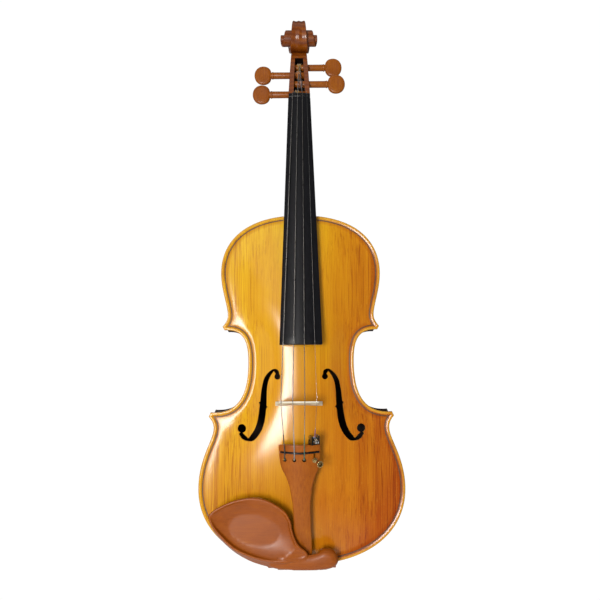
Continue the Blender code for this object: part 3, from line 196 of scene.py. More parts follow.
def spruce_varnish():
    m = Mat("spruce_varnish")
    p = m.at()
    # varnish: yellow gold at the upper left, deeper orange at the lower right; partly the varnish's own hue, partly
    # painted light falling from the upper left
    f = m.vec("DOT_PRODUCT", p, (0.0047, 0.0, -0.00159))
    big = m.noise(m.vec("MULTIPLY", p, (1.0, 0.6, 0.7)), 0.016, 3.0, 0.5)
    f = m.math("ADD", f, m.math("MULTIPLY", m.math("SUBTRACT", big, 0.5), 0.55))
    f = m.math("ADD", f, 0.724 - 0.00159 * 551)
    col = m.ramp(f, [(0.0, lin(240, 190, 22)), (0.3, lin(230, 166, 14)), (0.6, lin(212, 136, 12)), (0.85, lin(204, 120, 12)), (1.0, lin(192, 100, 14))])
    # growth rings: fine dark late wood lines up the plate, wider apart at the flanks
    streak = m.noise(m.vec("MULTIPLY", p, (1.0, 1.0, 0.012)), 0.55, 4.0, 0.62)
    bent = m.vec("ADD", p, m.node("ShaderNodeCombineXYZ", {0: m.math("MULTIPLY", m.noise(m.vec("MULTIPLY", p, (1.0, 1.0, 0.2)), 0.03, 2.0), 9.0)}).outputs[0])
    rings = m.math("POWER", m.wave(bent, 1.7, 1.6, 2.0, 0.25), 4.0)
    bold = m.range(m.noise(m.vec("MULTIPLY", bent, (1.0, 1.0, 0.010)), 0.62, 3.0, 0.62), 0.53, 0.66)
    across = m.math("ABSOLUTE", m.vec("DOT_PRODUCT", p, (1.0, 0.0, 0.0)))
    amp = m.range(across, 15.0, 80.0, 0.28, 0.75)
    dark = m.math("MULTIPLY", m.math("MULTIPLY", rings, m.range(streak, 0.35, 0.65, 0.15, 1.0)), amp)
    col = m.mix(m.math("MULTIPLY", dark, 0.9, clamp=True), col, m.mix(1.0, col, tint(190, 118, 60), "MULTIPLY"))
    col = m.mix(m.math("MULTIPLY", m.math("MULTIPLY", bold, m.range(across, 12.0, 75.0, 0.12, 0.8)), 0.8, clamp=True), col, m.mix(1.0, col, tint(176, 112, 62), "MULTIPLY"))
    wide = m.range(m.noise(m.vec("MULTIPLY", p, (1.0, 1.0, 0.01)), 0.16, 3.0, 0.6), 0.35, 0.68)
    col = m.mix(m.math("MULTIPLY", wide, m.range(across, 0.0, 90.0, 0.14, 0.6)), col, m.mix(1.0, col, tint(205, 138, 80), "MULTIPLY"))
    # medullary flecks
    fleck = m.range(m.noise(m.vec("MULTIPLY", p, (1.0, 1.0, 0.35)), 0.9, 2.0, 0.5), 0.62, 0.72)
    col = m.mix(m.math("MULTIPLY", fleck, 0.12), col, lin(240, 190, 70))
    # the crest of the edge is paler in patches, the channel darker and with a thinner coat
    e = m.attr("edge_d")
    chan = m.math("MULTIPLY", m.range(e, 2.4, 3.8), m.range(e, 9.5, 5.0))
    patches = m.noise(p, 0.09, 3.0)
    col = m.mix(m.math("MULTIPLY", chan, 0.5), col, m.mix(1.0, col, tint(190, 120, 70), "MULTIPLY"))
    crest = m.math("MULTIPLY", m.range(e, 3.3, 1.6), m.range(patches, 0.3, 0.6, 0.55, 0.95))
    col = m.mix(crest, col, lin(222, 160, 40))
    # painted shade: the outer side of the edge, turned away from the light, is darkened
    col = m.mix(m.math("MULTIPLY", m.range(e, 0.45, 0.0), 0.75), col, lin(120, 62, 14))
    rough = m.range(m.noise(p, 0.05, 4.0), 0.3, 0.7, 0.30, 0.42)
    h = m.math("ADD", m.math("MULTIPLY", rings, 0.6), m.math("MULTIPLY", streak, 0.8))
    return m.set(color=col, rough=rough, normal=m.bump(h, 0.14, 0.0002), coat=m.math("SUBTRACT", 0.72, m.math("MULTIPLY", chan, 0.5)), coat_rough=0.17, coat_ior=1.5, spec=0.04, coat_normal=m.bump(m.math("ADD", m.math("MULTIPLY", streak, 1.2), m.math("MULTIPLY", patches, 0.5)), 0.06, 0.0003))


def maple_varnish(name, c0, c1, c2, axis="X", coat=0.8, rough=0.3, width=7.0):
    """Figured maple: curls that run across the grain, under coloured varnish."""
    m = Mat(name)
    p = m.at()
    d = {"X": (0.02, 0.02, 1.0), "Z": (1.0, 1.0, 0.02)}[axis]
    # curls lie across the grain; the grain itself runs up the piece
    q = m.vec("ADD", p, m.vec("MULTIPLY", m.node("ShaderNodeTexNoise", {"Vector": m.vec("MULTIPLY", p, (1.0, 1.0, 0.5)), "Scale": 0.035, "Detail": 2.0}).outputs["Color"], (14.0, 14.0, 14.0)))
    curl = m.wave(q, width, 2.6, 2.0, 0.12, direction="Z" if axis == "X" else "X")
    curl = m.math("MULTIPLY", curl, m.range(m.noise(m.vec("MULTIPLY", p, (1.0, 1.0, 0.4)), 0.05, 2.0), 0.3, 0.65, 0.25, 1.0))
    grain = m.noise(m.vec("MULTIPLY", p, (1.0, 1.0, 0.03)), 1.1, 4.0, 0.6)
    pores = m.range(m.noise(m.vec("MULTIPLY", p, (1.0, 1.0, 0.12)), 2.6, 2.0, 0.5), 0.62, 0.7)
    big = m.noise(p, 0.014, 3.0)
    col = m.ramp(m.math("ADD", m.math("MULTIPLY", curl, 0.62), m.math("MULTIPLY", big, 0.5)), [(0.15, c0), (0.55, c1), (0.95, c2)])
    col = m.mix(m.range(grain, 0.35, 0.7, 0.0, 0.3), col, m.mix(1.0, col, tint(190, 130, 90), "MULTIPLY"))
    col = m.mix(m.math("MULTIPLY", pores, 0.35), col, m.mix(1.0, col, tint(120, 76, 50), "MULTIPLY"))
    e = m.attr("edge_d")
    on = m.math("MULTIPLY", m.range(e, 0.0, 0.2, 0.0, 1.0), m.range(e, 3.3, 1.6))
    col = m.mix(m.math("MULTIPLY", on, 0.5), col, c2)
    h = m.math("ADD", m.math("MULTIPLY", curl, 0.5), m.math("MULTIPLY", grain, 0.5))
    return m.set(color=col, rough=m.range(grain, 0.3, 0.7, rough - 0.04, rough + 0.08), normal=m.bump(h, 0.08, 0.0003), coat=coat, coat_rough=0.18, coat_ior=1.5, spec=0.2)


def boxwood(name, c0, c1, c2, rough=0.36, coat=0.15, along="Z", coat_rough=0.28, speck_amount=0.75):
    """Stained close-grained hardwood, with flecks and a soft oil finish."""
    m = Mat(name)
    p = m.at()
    s = {"Z": (1.0, 1.0, 0.07), "X": (0.07, 1.0, 1.0)}[along]
    grain = m.noise(m.vec("MULTIPLY", p, s), 0.8, 5.0, 0.6)
    fine = m.noise(m.vec("MULTIPLY", p, s), 3.2, 3.0, 0.6)
    big = m.noise(p, 0.035, 3.0, 0.5, 0.6)
    col = m.ramp(m.math("ADD", m.math("MULTIPLY", grain, 0.55), m.math("MULTIPLY", big, 0.5)), [(0.28, c0), (0.52, c1), (0.78, c2)])
    speck = m.range(m.noise(m.vec("MULTIPLY", p, (1.0, 1.0, 0.4)), 1.7, 2.0, 0.5), 0.66, 0.73)
    col = m.mix(m.math("MULTIPLY", speck, speck_amount), col, m.mix(1.0, col, tint(105, 60, 40), "MULTIPLY"))
    col = m.mix(m.range(fine, 0.4, 0.7, 0.0, 0.22), col, m.mix(1.0, col, tint(180, 120, 80), "MULTIPLY"))
    return m.set(color=col, rough=m.range(grain, 0.3, 0.7, rough - 0.05, rough + 0.08), normal=m.bump(m.math("ADD", grain, fine), 0.07, 0.0002),
                 coat=coat, coat_rough=coat_rough, spec=0.2)


def plain_wood(name, c0, c1, period=1.2, rough=0.6, amount=0.5, bump=0.15, axis=(1.0, 1.0, 0.04)):
    m = Mat(name)
    p = m.at()
    g = m.noise(m.vec("MULTIPLY", p, axis), 1.0 / period, 4.0, 0.6)
    w = m.wave(p, period * 1.6, 2.0, 2.0, 0.3)
    f = m.noise(m.vec("MULTIPLY", p, axis), 4.0, 2.0, 0.5)
    col = m.ramp(m.math("ADD", m.math("MULTIPLY", g, 0.6), m.math("MULTIPLY", w, 0.4 * amount)), [(0.2, c0), (0.75, c1)])
    col = m.mix(m.range(f, 0.45, 0.75, 0.0, 0.3), col, m.mix(1.0, col, tint(170, 140, 110), "MULTIPLY"))
    return m.set(color=col, rough=m.range(g, 0.3, 0.7, rough - 0.08, rough + 0.08), normal=m.bump(g, bump, 0.0002), spec=0.35)


def ebony():
    m = Mat("ebony")
    p = m.at()
    g = m.noise(m.vec("MULTIPLY", p, (1.0, 1.0, 0.025)), 1.3, 5.0, 0.65)
    pores = m.range(m.noise(m.vec("MULTIPLY", p, (1.0, 1.0, 0.07)), 3.0, 2.0, 0.5), 0.6, 0.7)
    col = m.ramp(g, [(0.3, lin(9, 9, 12)), (0.7, lin(24, 24, 29))])
    col = m.mix(m.math("MULTIPLY", pores, 0.5), col, lin(8, 8, 9))
    return m.set(color=col, rough=m.range(g, 0.3, 0.7, 0.30, 0.42), normal=m.bump(m.math("ADD", g, m.math("MULTIPLY", pores, -0.5)), 0.10, 0.0002), spec=0.25)


def metal(name, c, rough, scale=0.8, var=0.06, aniso=0.0, bump=0.02, stretch=(1.0, 1.0, 1.0), metal=1.0, coat=0.0):
    m = Mat(name)
    p = m.at()
    n = m.noise(m.vec("MULTIPLY", p, stretch), scale, 4.0, 0.6)
    sm = m.noise(p, 0.25, 3.0)
    col = m.mix(m.range(sm, 0.3, 0.7, 0.0, 0.35), c, tuple(v * 0.78 for v in c))
    return m.set(color=col, metal=metal, rough=m.range(n, 0.3, 0.7, max(rough - var, 0.03), rough + var), normal=m.bump(n, bump, 0.0001), aniso=aniso, coat=coat, coat_rough=0.2)


def wound(name, c, pitch=0.35, rough=0.3):
    """A string with fine wire round it."""
    m = Mat(name)
    p = m.at()
    w = m.wave(p, pitch, 0.0, 0.0, 1.0, direction="Z")
    n = m.noise(p, 0.4, 3.0)
    # darker between the turns of wire: painted shade in the grooves
    col = m.mix(m.range(w, 0.1, 0.9), tuple(v * 0.45 for v in c), c)
    col = m.mix(m.range(n, 0.3, 0.7, 0.0, 0.3), col, m.mix(1.0, col, (0.6, 0.56, 0.5), "MULTIPLY"))
    return m.set(color=col, metal=1.0, rough=m.range(n, 0.3, 0.7, rough - 0.05, rough + 0.1), normal=m.bump(w, 0.5, 0.0001))


def silk(name, c, pitch=0.5):
    """Coloured thread wrapped round a string's end."""
    m = Mat(name)
    p = m.at()
    w = m.wave(p, pitch, 0.4, 1.0, 1.0, direction="Z")
    n = m.noise(p, 1.5, 3.0)
    # darker between the turns of thread: painted shade in the grooves
    col = m.mix(m.range(w, 0.1, 0.9), tuple(v * 0.5 for v in c), c)
    col = m.mix(m.range(n, 0.3, 0.7, 0.0, 0.4), col, tuple(min(1, v * 1.5 + 0.01) for v in c))
    return m.set(color=col, rough=0.7, normal=m.bump(w, 0.6, 0.0001), sheen=0.3)


def cork():
    m = Mat("cork")
    p = m.at()
    v = m.node("ShaderNodeTexVoronoi", {"Vector": p, "Scale": 0.9}).outputs["Distance"]
    n = m.noise(p, 1.2, 4.0)
    col = m.ramp(m.math("ADD", m.math("MULTIPLY", v, 0.5), m.math("MULTIPLY", n, 0.6)), [(0.3, lin(92, 58, 34)), (0.55, lin(168, 120, 78)), (0.8, lin(196, 150, 104))])
    return m.set(color=col, rough=0.85, normal=m.bump(n, 0.4, 0.0004))


def shiny_black():
    m = Mat("black_lacquer")
    p = m.at()
    n = m.noise(p, 0.8, 4.0)
    patches = m.range(m.noise(p, 0.5, 5.0, 0.7), 0.66, 0.74)
    col = m.mix(patches, lin(14, 14, 16), lin(70, 66, 62))
    return m.set(color=col, metal=m.math("MULTIPLY", patches, 0.7), rough=m.range(n, 0.3, 0.7, 0.22, 0.36), normal=m.bump(n, 0.03, 0.0001), coat=0.4, coat_rough=0.15)


M = {
    "spruce": spruce_varnish(),
    "spruce_cut": plain_wood("spruce_cut", lin(150, 92, 38), lin(196, 138, 72), 1.0, 0.55),
    "maple_back": maple_varnish("maple_back_varnish", lin(120, 52, 14), lin(176, 92, 24), lin(214, 140, 46), "X", width=8.0),
    "maple_rib": maple_varnish("maple_rib_varnish", lin(84, 38, 12), lin(132, 66, 20), lin(178, 104, 36), "Z", width=6.5),
    "maple_neck": maple_varnish("maple_neck_varnish", lin(118, 54, 3), lin(140, 70, 4), lin(158, 86, 8), "X", coat=0.35, rough=0.36, width=6.0),
    "inner_wood": plain_wood("bare_willow", lin(176, 138, 92), lin(214, 182, 134), 2.2, 0.65),
    "bridge_maple": plain_wood("bare_maple", lin(226, 214, 184), lin(245, 238, 214), 0.7, 0.5, 0.7, 0.12, (0.05, 1.0, 1.0)),
    # a paler, whiter copy of the bridge maple for the top: painted light
    "bridge_lit_edge": plain_wood("bridge_top_painted_light", lin(214, 206, 180), lin(246, 241, 224), 0.7, 0.5, 0.7, 0.2, (0.2, 1.0, 1.0)),
    "ebony": ebony(),
    "boxwood_peg": boxwood("boxwood_peg", lin(134, 66, 2), lin(158, 84, 3), lin(180, 106, 10), speck_amount=0.4),
    "boxwood_tail": boxwood("boxwood_tail", lin(140, 68, 2), lin(166, 88, 3), lin(186, 110, 10), speck_amount=0.6),
    "boxwood_rest": boxwood("boxwood_rest", lin(140, 68, 3), lin(158, 79, 4), lin(176, 96, 8), rough=0.42, coat=0.22, along="X", coat_rough=0.3, speck_amount=0.25),
    # near-black wood for the plate's inner face: painted shade inside the body
    "inside_shade": plain_wood("painted_shade_inside_wood", lin(34, 20, 10), lin(52, 31, 15), 1.6, 0.8),
    # near-black wood for the pegbox's inside: painted shade
    "trough_dark": plain_wood("painted_shade_trough", lin(24, 11, 6), lin(50, 24, 12), 1.6, 0.6),
    "purf_black": plain_wood("dyed_black_strip", lin(48, 26, 12), lin(78, 42, 16), 0.8, 0.4),
    "purf_white": plain_wood("poplar_strip", lin(120, 76, 26), lin(150, 98, 38), 0.8, 0.4),
    "steel": metal("nickel", (0.62, 0.61, 0.58), 0.22),
    "hook": metal("bright_steel", (0.72, 0.72, 0.70), 0.2),
    "black_metal": shiny_black(),
    "brass": metal("brass_polished", (0.80, 0.60, 0.26), 0.2),
    # darkened brass: painted shade for ball ends in their keyholes and for hollows
    "brass_dark": metal("painted_shade_brass", (0.20, 0.14, 0.06), 0.45),
    "nylon": silk("tail_cord", lin(26, 26, 28), 1.2),
    "cork": cork(),
    "wound_silver": wound("string_wound_silver", (0.50, 0.48, 0.46)),
    "wound_dark": wound("string_wound_dark", (0.38, 0.36, 0.34)),
    "plain_steel": metal("string_plain_steel", (0.66, 0.66, 0.64), 0.18),
    "silk_black": silk("silk_black", lin(40, 30, 26)),
    "silk_grey": silk("silk_grey", lin(150, 148, 150)),
    "silk_gold": silk("silk_gold", lin(176, 130, 40)),
    "silk_tan": silk("silk_tan", lin(205, 132, 66)),
    "silk_pink": silk("silk_pink", lin(205, 150, 132)),
    "silk_green": silk("silk_green", lin(70, 110, 92)),
    "silk_violet": silk("silk_violet", lin(96, 62, 128)),
    "silk_red": silk("silk_red", lin(140, 42, 30)),
    "bone_white": metal("fret_line_pale", lin(206, 196, 176), 0.4, metal=0.0),
}

# ------------------------------------------------------------------ mesh helpers
DONE = set()


def take(ob, body, nodes=()):
    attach(ob, body)
    if nodes:
        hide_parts(*nodes)
    for n in nodes:
        DONE.add(n)
    return ob


def mesh(name, verts, faces, mats, smooth=40.0, weld=1e-6, idx=None, world=False, attr=None):
    """verts in body millimetres (or world metres), faces as index lists, mats as keys of M."""
    bm = bmesh.new()
    pts = verts if world else WA(verts)
    layer = bm.verts.layers.float.new("edge_d") if attr is not None else None
    vs = []
    for k, v in enumerate(pts):
        q = bm.verts.new(v)
        if layer:
            q[layer] = float(attr[k])
        vs.append(q)
    for k, f in enumerate(faces):
        if len(set(f)) >= 3:
            try:
                nf = bm.faces.new([vs[i] for i in f])
                nf.material_index = idx[k] if idx else 0
            except ValueError:
                pass
    bmesh.ops.remove_doubles(bm, verts=bm.verts, dist=weld)
    bmesh.ops.dissolve_degenerate(bm, edges=bm.edges, dist=1e-7)
    bmesh.ops.delete(bm, geom=[v for v in bm.verts if not v.link_faces], context="VERTS")
    bmesh.ops.recalc_face_normals(bm, faces=bm.faces)
    me = bpy.data.meshes.new(name)
    bm.to_mesh(me)
    bm.free()
    if smooth:
        me.shade_smooth()
        me.set_sharp_from_angle(angle=math.radians(smooth))
    ob = bpy.data.objects.new(name, me)
    bpy.context.scene.collection.objects.link(ob)
    for k in ([mats] if isinstance(mats, str) else mats):
        me.materials.append(M[k])
    return ob


def applied(ob, smooth=None):
    """The object's modifiers, made into its mesh."""
    bpy.context.view_layer.update()
    dg = bpy.context.evaluated_depsgraph_get()
    me = bpy.data.meshes.new_from_object(ob.evaluated_get(dg))
    ob.modifiers.clear()
    old = ob.data
    ob.data = me
    bpy.data.meshes.remove(old)
    if smooth:
        me.shade_smooth()
        me.set_sharp_from_angle(angle=math.radians(smooth))
    return ob


def cut(ob, others, op="DIFFERENCE", smooth=40.0):
    """Boolean with each of others, which then go."""
    for o in others:
        m = ob.modifiers.new("b", "BOOLEAN")
        m.operation = op
        m.object = o
        m.solver = "EXACT"
        m.material_mode = "TRANSFER"
    applied(ob, smooth)
    for o in others:
        bpy.data.objects.remove(o, do_unlink=True)
    return ob


def soften(ob, width, segments=2, angle=35.0, smooth=40.0):
    b = ob.modifiers.new("bevel", "BEVEL")
    b.width = width * MM
    b.segments = segments
    b.limit_method = "ANGLE"
    b.angle_limit = math.radians(angle)
    b.harden_normals = False
    b.use_clamp_overlap = True
    return applied(ob, smooth)


def loft(name, sections, mats, caps=True, closed=True, smooth=40.0, world=False):
    n = len(sections[0])
    v, f = [], []
    for s in sections:
        v += [tuple(p) for p in s]
    for k in range(len(sections) - 1):
        a, b = k * n, (k + 1) * n
        f += [[a + i, a + (i + 1) % n, b + (i + 1) % n, b + i] for i in range(n if closed else n - 1)]
    if caps:
        f.append(list(range(n)))
        f.append(list(range((len(sections) - 1) * n, len(sections) * n)))
    return mesh(name, v, f, mats, smooth=smooth, world=world)


def prism(name, poly, h0, h1, mats, smooth=40.0):
    return loft(name, [[(x, z, h) for x, z in poly] for h in (h0, h1)], mats, smooth=smooth)


def block(name, x, z, h, mats, bev=0.0, segs=2):
    x, z, h = sorted(x), sorted(z), sorted(h)
    o = loft(name, [[(x[0], z[0], q), (x[1], z[0], q), (x[1], z[1], q), (x[0], z[1], q)] for q in h], mats, smooth=None)
    return soften(o, bev, segs) if bev else o


def turned(name, profile, origin, axis, mats, steps=48, smooth=35.0, idx=None, fn=None):
    """profile: (radius, distance along axis) in mm, turned about axis through origin (world)."""
    axis = Vector(axis).normalized()
    side = axis.orthogonal().normalized()
    up = axis.cross(side)
    v, f, mi = [], [], []
    m = len(profile)
    for k in range(steps):
        a = 2 * math.pi * k / steps
        d = side * math.cos(a) + up * math.sin(a)
        for j, (r, t) in enumerate(profile):
            rr = r if fn is None else fn(r, t, a, j)
            v.append(origin + (d * rr + axis * t) * MM)
    for k in range(steps):
        k2 = (k + 1) % steps
        for j in range(m - 1):
            f.append([k * m + j, k * m + j + 1, k2 * m + j + 1, k2 * m + j])
            mi.append(idx[j] if idx else 0)
    return mesh(name, v, f, mats, smooth=smooth, world=True, idx=mi, weld=2e-6)


def rod(name, radius, p0, p1, mats, sides=32):
    L = (p1 - p0).length / MM
    return turned(name, [(0, 0), (radius, 0), (radius, L), (0, L)], p0, p1 - p0, mats, sides)


def smooth_path(pts, n):
    P = [np.array(p, float) for p in pts]
    P = [2 * P[0] - P[1]] + P + [2 * P[-1] - P[-2]]
    out = []
    for i in range(1, len(P) - 2):
        a, b, c, d = P[i - 1:i + 3]
        for k in range(n):
            t = k / n
            out.append(0.5 * ((2 * b) + (c - a) * t + (2 * a - 5 * b + 4 * c - d) * t * t + (3 * b - a - 3 * c + d) * t ** 3))
    out.append(P[-2])
    return out


def closed_path(pts, n):
    m = len(pts)
    P = [np.array(p, float) for p in pts]
    out = []
    for i in range(m):
        a, b, c, d = P[i - 1], P[i], P[(i + 1) % m], P[(i + 2) % m]
        for k in range(n):
            t = k / n
            out.append(0.5 * ((2 * b) + (c - a) * t + (2 * a - 5 * b + 4 * c - d) * t * t + (3 * b - a - 3 * c + d) * t ** 3))
    return out


def cornered(pts, corners, n):
    """A closed outline, smooth between the points whose indices are in corners."""
    m = len(pts)
    c = sorted(corners)
    out = []
    for a, b in zip(c, c[1:] + [c[0] + m]):
        run = [pts[i % m] for i in range(a, b + 1)]
        out += smooth_path(run, n)[:-1] if len(run) > 2 else [np.array(run[0], float)]
    return out


def tube(name, pts, radius, mats, sides=12, caps=True, radii=None, idx=None):
    """A round wire through body points; idx gives each span's material."""
    P = [np.array(W(*p)) for p in pts]
    T = [P[1] - P[0]] + [P[i + 1] - P[i - 1] for i in range(1, len(P) - 1)] + [P[-1] - P[-2]]
    T = [t / np.linalg.norm(t) for t in T]
    ref = np.array([1.0, 0, 0]) if abs(T[0][0]) < 0.9 else np.array([0, 1.0, 0])
    v, f, mi = [], [], []
    u = ref - T[0] * np.dot(ref, T[0])
    u /= np.linalg.norm(u)
    for i, (p, t) in enumerate(zip(P, T)):
        u = u - t * np.dot(u, t)
        u /= np.linalg.norm(u)
        w = np.cross(t, u)
        r = (radii[i] if radii else radius) * MM
        v += [p + (u * math.cos(a) + w * math.sin(a)) * r for a in np.linspace(0, 2 * math.pi, sides, endpoint=False)]
    for k in range(len(P) - 1):
        a, b = k * sides, (k + 1) * sides
        f += [[a + i, a + (i + 1) % sides, b + (i + 1) % sides, b + i] for i in range(sides)]
        mi += [idx[k] if idx else 0] * sides
    if caps:
        f += [list(range(sides)), list(range((len(P) - 1) * sides, len(P) * sides))]
        mi += [mi[0], mi[-1]]
    return mesh(name, v, f, mats, smooth=50.0, world=True, idx=mi, weld=1e-8)


# ------------------------------------------------------------------ outline


def arc_points(arcs, n=200):
    out = []
    for a, b, c, d in arcs:
        t = np.linspace(0, 1, n, endpoint=False)[:, None]
        a, b, c, d = (np.array(p, float) for p in (a, b, c, d))
        out.append(a * (1 - t) ** 3 + 3 * b * t * (1 - t) ** 2 + 3 * c * t * t * (1 - t) + d * t ** 3)
    out.append(np.array([arcs[-1][-1]], float))
    return np.vstack(out)


def lengthened(p, start, end, by=12.0):
    if start:
        d = (p[0] - p[1]) / np.linalg.norm(p[0] - p[1])
        p = np.vstack([p[0] + d * np.linspace(by, 0.5, 24)[:, None], p])
    if end:
        d = (p[-1] - p[-2]) / np.linalg.norm(p[-1] - p[-2])
        p = np.vstack([p, p[-1] + d * np.linspace(0.5, by, 24)[:, None]])
    return p


CHAINS = [lengthened(arc_points(LOWER), False, True), lengthened(arc_points(WAIST), True, True),
          lengthened(arc_points(UPPER), True, False)]


def inset(p, d):
    t = np.gradient(p, axis=0)
    t /= np.linalg.norm(t, axis=1)[:, None]
    return p + np.stack([-t[:, 1], t[:, 0]], axis=1) * d


def crossing(p, q):
    a, b = p[:-1], p[1:]
    c, d = q[:-1], q[1:]
    r, s = b - a, d - c
    den = r[:, None, 0] * s[None, :, 1] - r[:, None, 1] * s[None, :, 0]
    den = np.where(np.abs(den) < 1e-12, 1e-12, den)
    ac = c[None] - a[:, None]
    t = (ac[..., 0] * s[None, :, 1] - ac[..., 1] * s[None, :, 0]) / den
    u = (ac[..., 0] * r[:, None, 1] - ac[..., 1] * r[:, None, 0]) / den
    hit = np.argwhere((t >= 0) & (t <= 1) & (u >= 0) & (u <= 1))
    if not len(hit):
        return None
    i, j = hit[0]
    return i + t[i, j], j + u[i, j]


def at_index(p, s):
    i = min(int(s), len(p) - 2)
    return p[i] + (p[i + 1] - p[i]) * (s - i)


def part_of(p, s0, s1):
    mid = [p[i] for i in range(int(math.ceil(s0 + 1e-9)), int(math.floor(s1 - 1e-9)) + 1)]
    return np.array([at_index(p, s0)] + mid + [at_index(p, s1)])


TIPS = ((np.array([94.3, 145.0]), np.array([92.3, 149.4])), (np.array([79.0, 232.9]), np.array([81.0, 236.6])))


def ring_chains(d):
    c = [inset(p, d) for p in CHAINS]
    lim = [[0.0, None], [None, None], [None, len(c[2]) - 1.0]]
    for k, (a, b) in enumerate(TIPS):
        i, j = crossing(c[k], c[k + 1])
        t = (b - a) / np.linalg.norm(b - a)
        n = np.array([-t[1], t[0]])
        line = np.array([a + n * d - t * 40, b + n * d + t * 40])
        e, g = crossing(c[k], line), crossing(c[k + 1][::-1], line)
        if e and e[0] < i:
            i = e[0]
        if g:
            g = len(c[k + 1]) - 1 - g[0]
            if g > j:
                j = g
        lim[k][1], lim[k + 1][0] = i, j
    return [part_of(p, *l) for p, l in zip(c, lim)]


def resample(p, n, start=0.0, end=0.0):
    s = np.concatenate([[0], np.cumsum(np.linalg.norm(np.diff(p, axis=0), axis=1))])
    t = np.linspace(start, s[-1] - end, n + 1)
    return np.stack([np.interp(t, s, p[:, k]) for k in (0, 1)], axis=1)


RES = (72, 46, 60)


def ring(d, res=RES):
    a, b, c = (resample(p, n) for p, n in zip(ring_chains(d), res))
    a[0, 0] = 0.0
    c[-1, 0] = 0.0
    right = np.vstack([a, b, c])
    left = right[1:-1][::-1] * [-1, 1]
    return np.vstack([right, left])


def inside(poly, x, z):
    ok = np.zeros(np.shape(x), bool)
    n = len(poly)
    for i in range(n):
        x0, z0 = poly[i]
        x1, z1 = poly[(i + 1) % n]
        if z0 == z1:
            continue
        c = (z0 > z) != (z1 > z)
        ok ^= c & (x < (x1 - x0) * (z - z0) / (z1 - z0) + x0)
    return ok


# ------------------------------------------------------------------ arching
GRID = 2.0
_gx = np.arange(-112, 112.1, GRID)
_gz = np.arange(-6, 362.1, GRID)
_X, _Z = np.meshgrid(_gx, _gz)
_in = inside(ring(8.0, (90, 50, 70)), _X, _Z)
_m = np.zeros(_X.shape)
_chk = (np.add.outer(np.arange(_X.shape[0]), np.arange(_X.shape[1])) % 2) == 0
for _k in range(700):
    for _c in (_chk, ~_chk):
        _avg = 0.25 * (np.roll(_m, 1, 0) + np.roll(_m, -1, 0) + np.roll(_m, 1, 1) + np.roll(_m, -1, 1) + 1.0)
        _m = np.where(_in & _c, _m + 1.93 * (_avg - _m), _m)
_mid = np.maximum(_m[:, len(_gx) // 2], 1e-6)
_q = np.clip(np.where(_in, _m / _mid[:, None], 0.0), 0, 1)
_s = 0.55 * _q * _q * (3 - 2 * _q) + 0.45 * _q ** 1.5
_zeta = np.minimum(np.abs((_Z - 177.0) / 169.0), 1.0)
_S = (1 - _zeta ** 2.5) ** 1.15 * _s
_T = _s.copy()
for _k in range(3):                     # a soft run out into the channel
    for _a in (0, 1):
        _S = (np.roll(_S, 1, _a) + 2 * _S + np.roll(_S, -1, _a)) / 4
        _T = (np.roll(_T, 1, _a) + 2 * _T + np.roll(_T, -1, _a)) / 4


def field(F, x, z):
    """Cubic spline value of a grid at arrays of points."""
    x, z = np.atleast_1d(x).astype(float), np.atleast_1d(z).astype(float)
    fx, fz = (x - _gx[0]) / GRID, (z - _gz[0]) / GRID
    i, j = np.floor(fz).astype(int), np.floor(fx).astype(int)
    u, v = fz - i, fx - j
    i, j = np.clip(i, 1, F.shape[0] - 3), np.clip(j, 1, F.shape[1] - 3)

    def w(t):
        return ((1 - t) ** 3 / 6, (3 * t ** 3 - 6 * t ** 2 + 4) / 6, (-3 * t ** 3 + 3 * t ** 2 + 3 * t + 1) / 6, t ** 3 / 6)
    wu, wv = w(u), w(v)
    return sum(wu[a] * wv[b] * F[i + a - 1, j + b - 1] for a in range(4) for b in range(4))


def arch(x, z, rise):
    s, t = field(_S, x, z), field(_T, x, z)
    return -0.6 * (1 - t) + rise * s


def cap(loop, points, inner, step, holes=()):
    """Triangles inside a closed loop of point indices; inner(xs, zs) gives heights of new points."""
    poly = np.array([points[i][:2] for i in loop])
    dense = np.vstack([poly + (np.roll(poly, -1, 0) - poly) * t for t in (0, 0.5)])
    extra = []
    row, z = 0, step / 2
    while z < BODY_LENGTH:
        xs = np.arange(0 if row % 2 else step / 2, 110, step)
        xs = np.unique(np.round(np.concatenate([-xs[::-1], xs]), 6))
        ok = inside(poly, xs, np.full(len(xs), z))
        for x in xs[ok]:
            if np.min(np.hypot(dense[:, 0] - x, dense[:, 1] - z)) > step * 0.55:
                extra.append((x, z))
        z += step * 0.87
        row += 1
    base = len(points)
    E = np.array(extra, float).reshape(-1, 2)
    hs = inner(E[:, 0], E[:, 1])
    points += [(x, z, h) for (x, z), h in zip(extra, hs)]
    coords = [Vector(points[i][:2]) for i in loop] + [Vector(p) for p in extra]
    out, _, tris, orig, _, _ = delaunay_2d_cdt(coords, [], [list(range(len(loop)))], 1, 1e-6)
    names = list(loop) + list(range(base, base + len(extra)))
    for k, o in enumerate(orig):
        if not o:                       # where the loop crosses itself
            points.append((out[k][0], out[k][1], float(inner(np.array([out[k][0]]), np.array([out[k][1]]))[0])))
            names.append(len(points) - 1)
            orig[k] = [len(names) - 1]
    return [[names[orig[i][0]] for i in t] for t in tris]


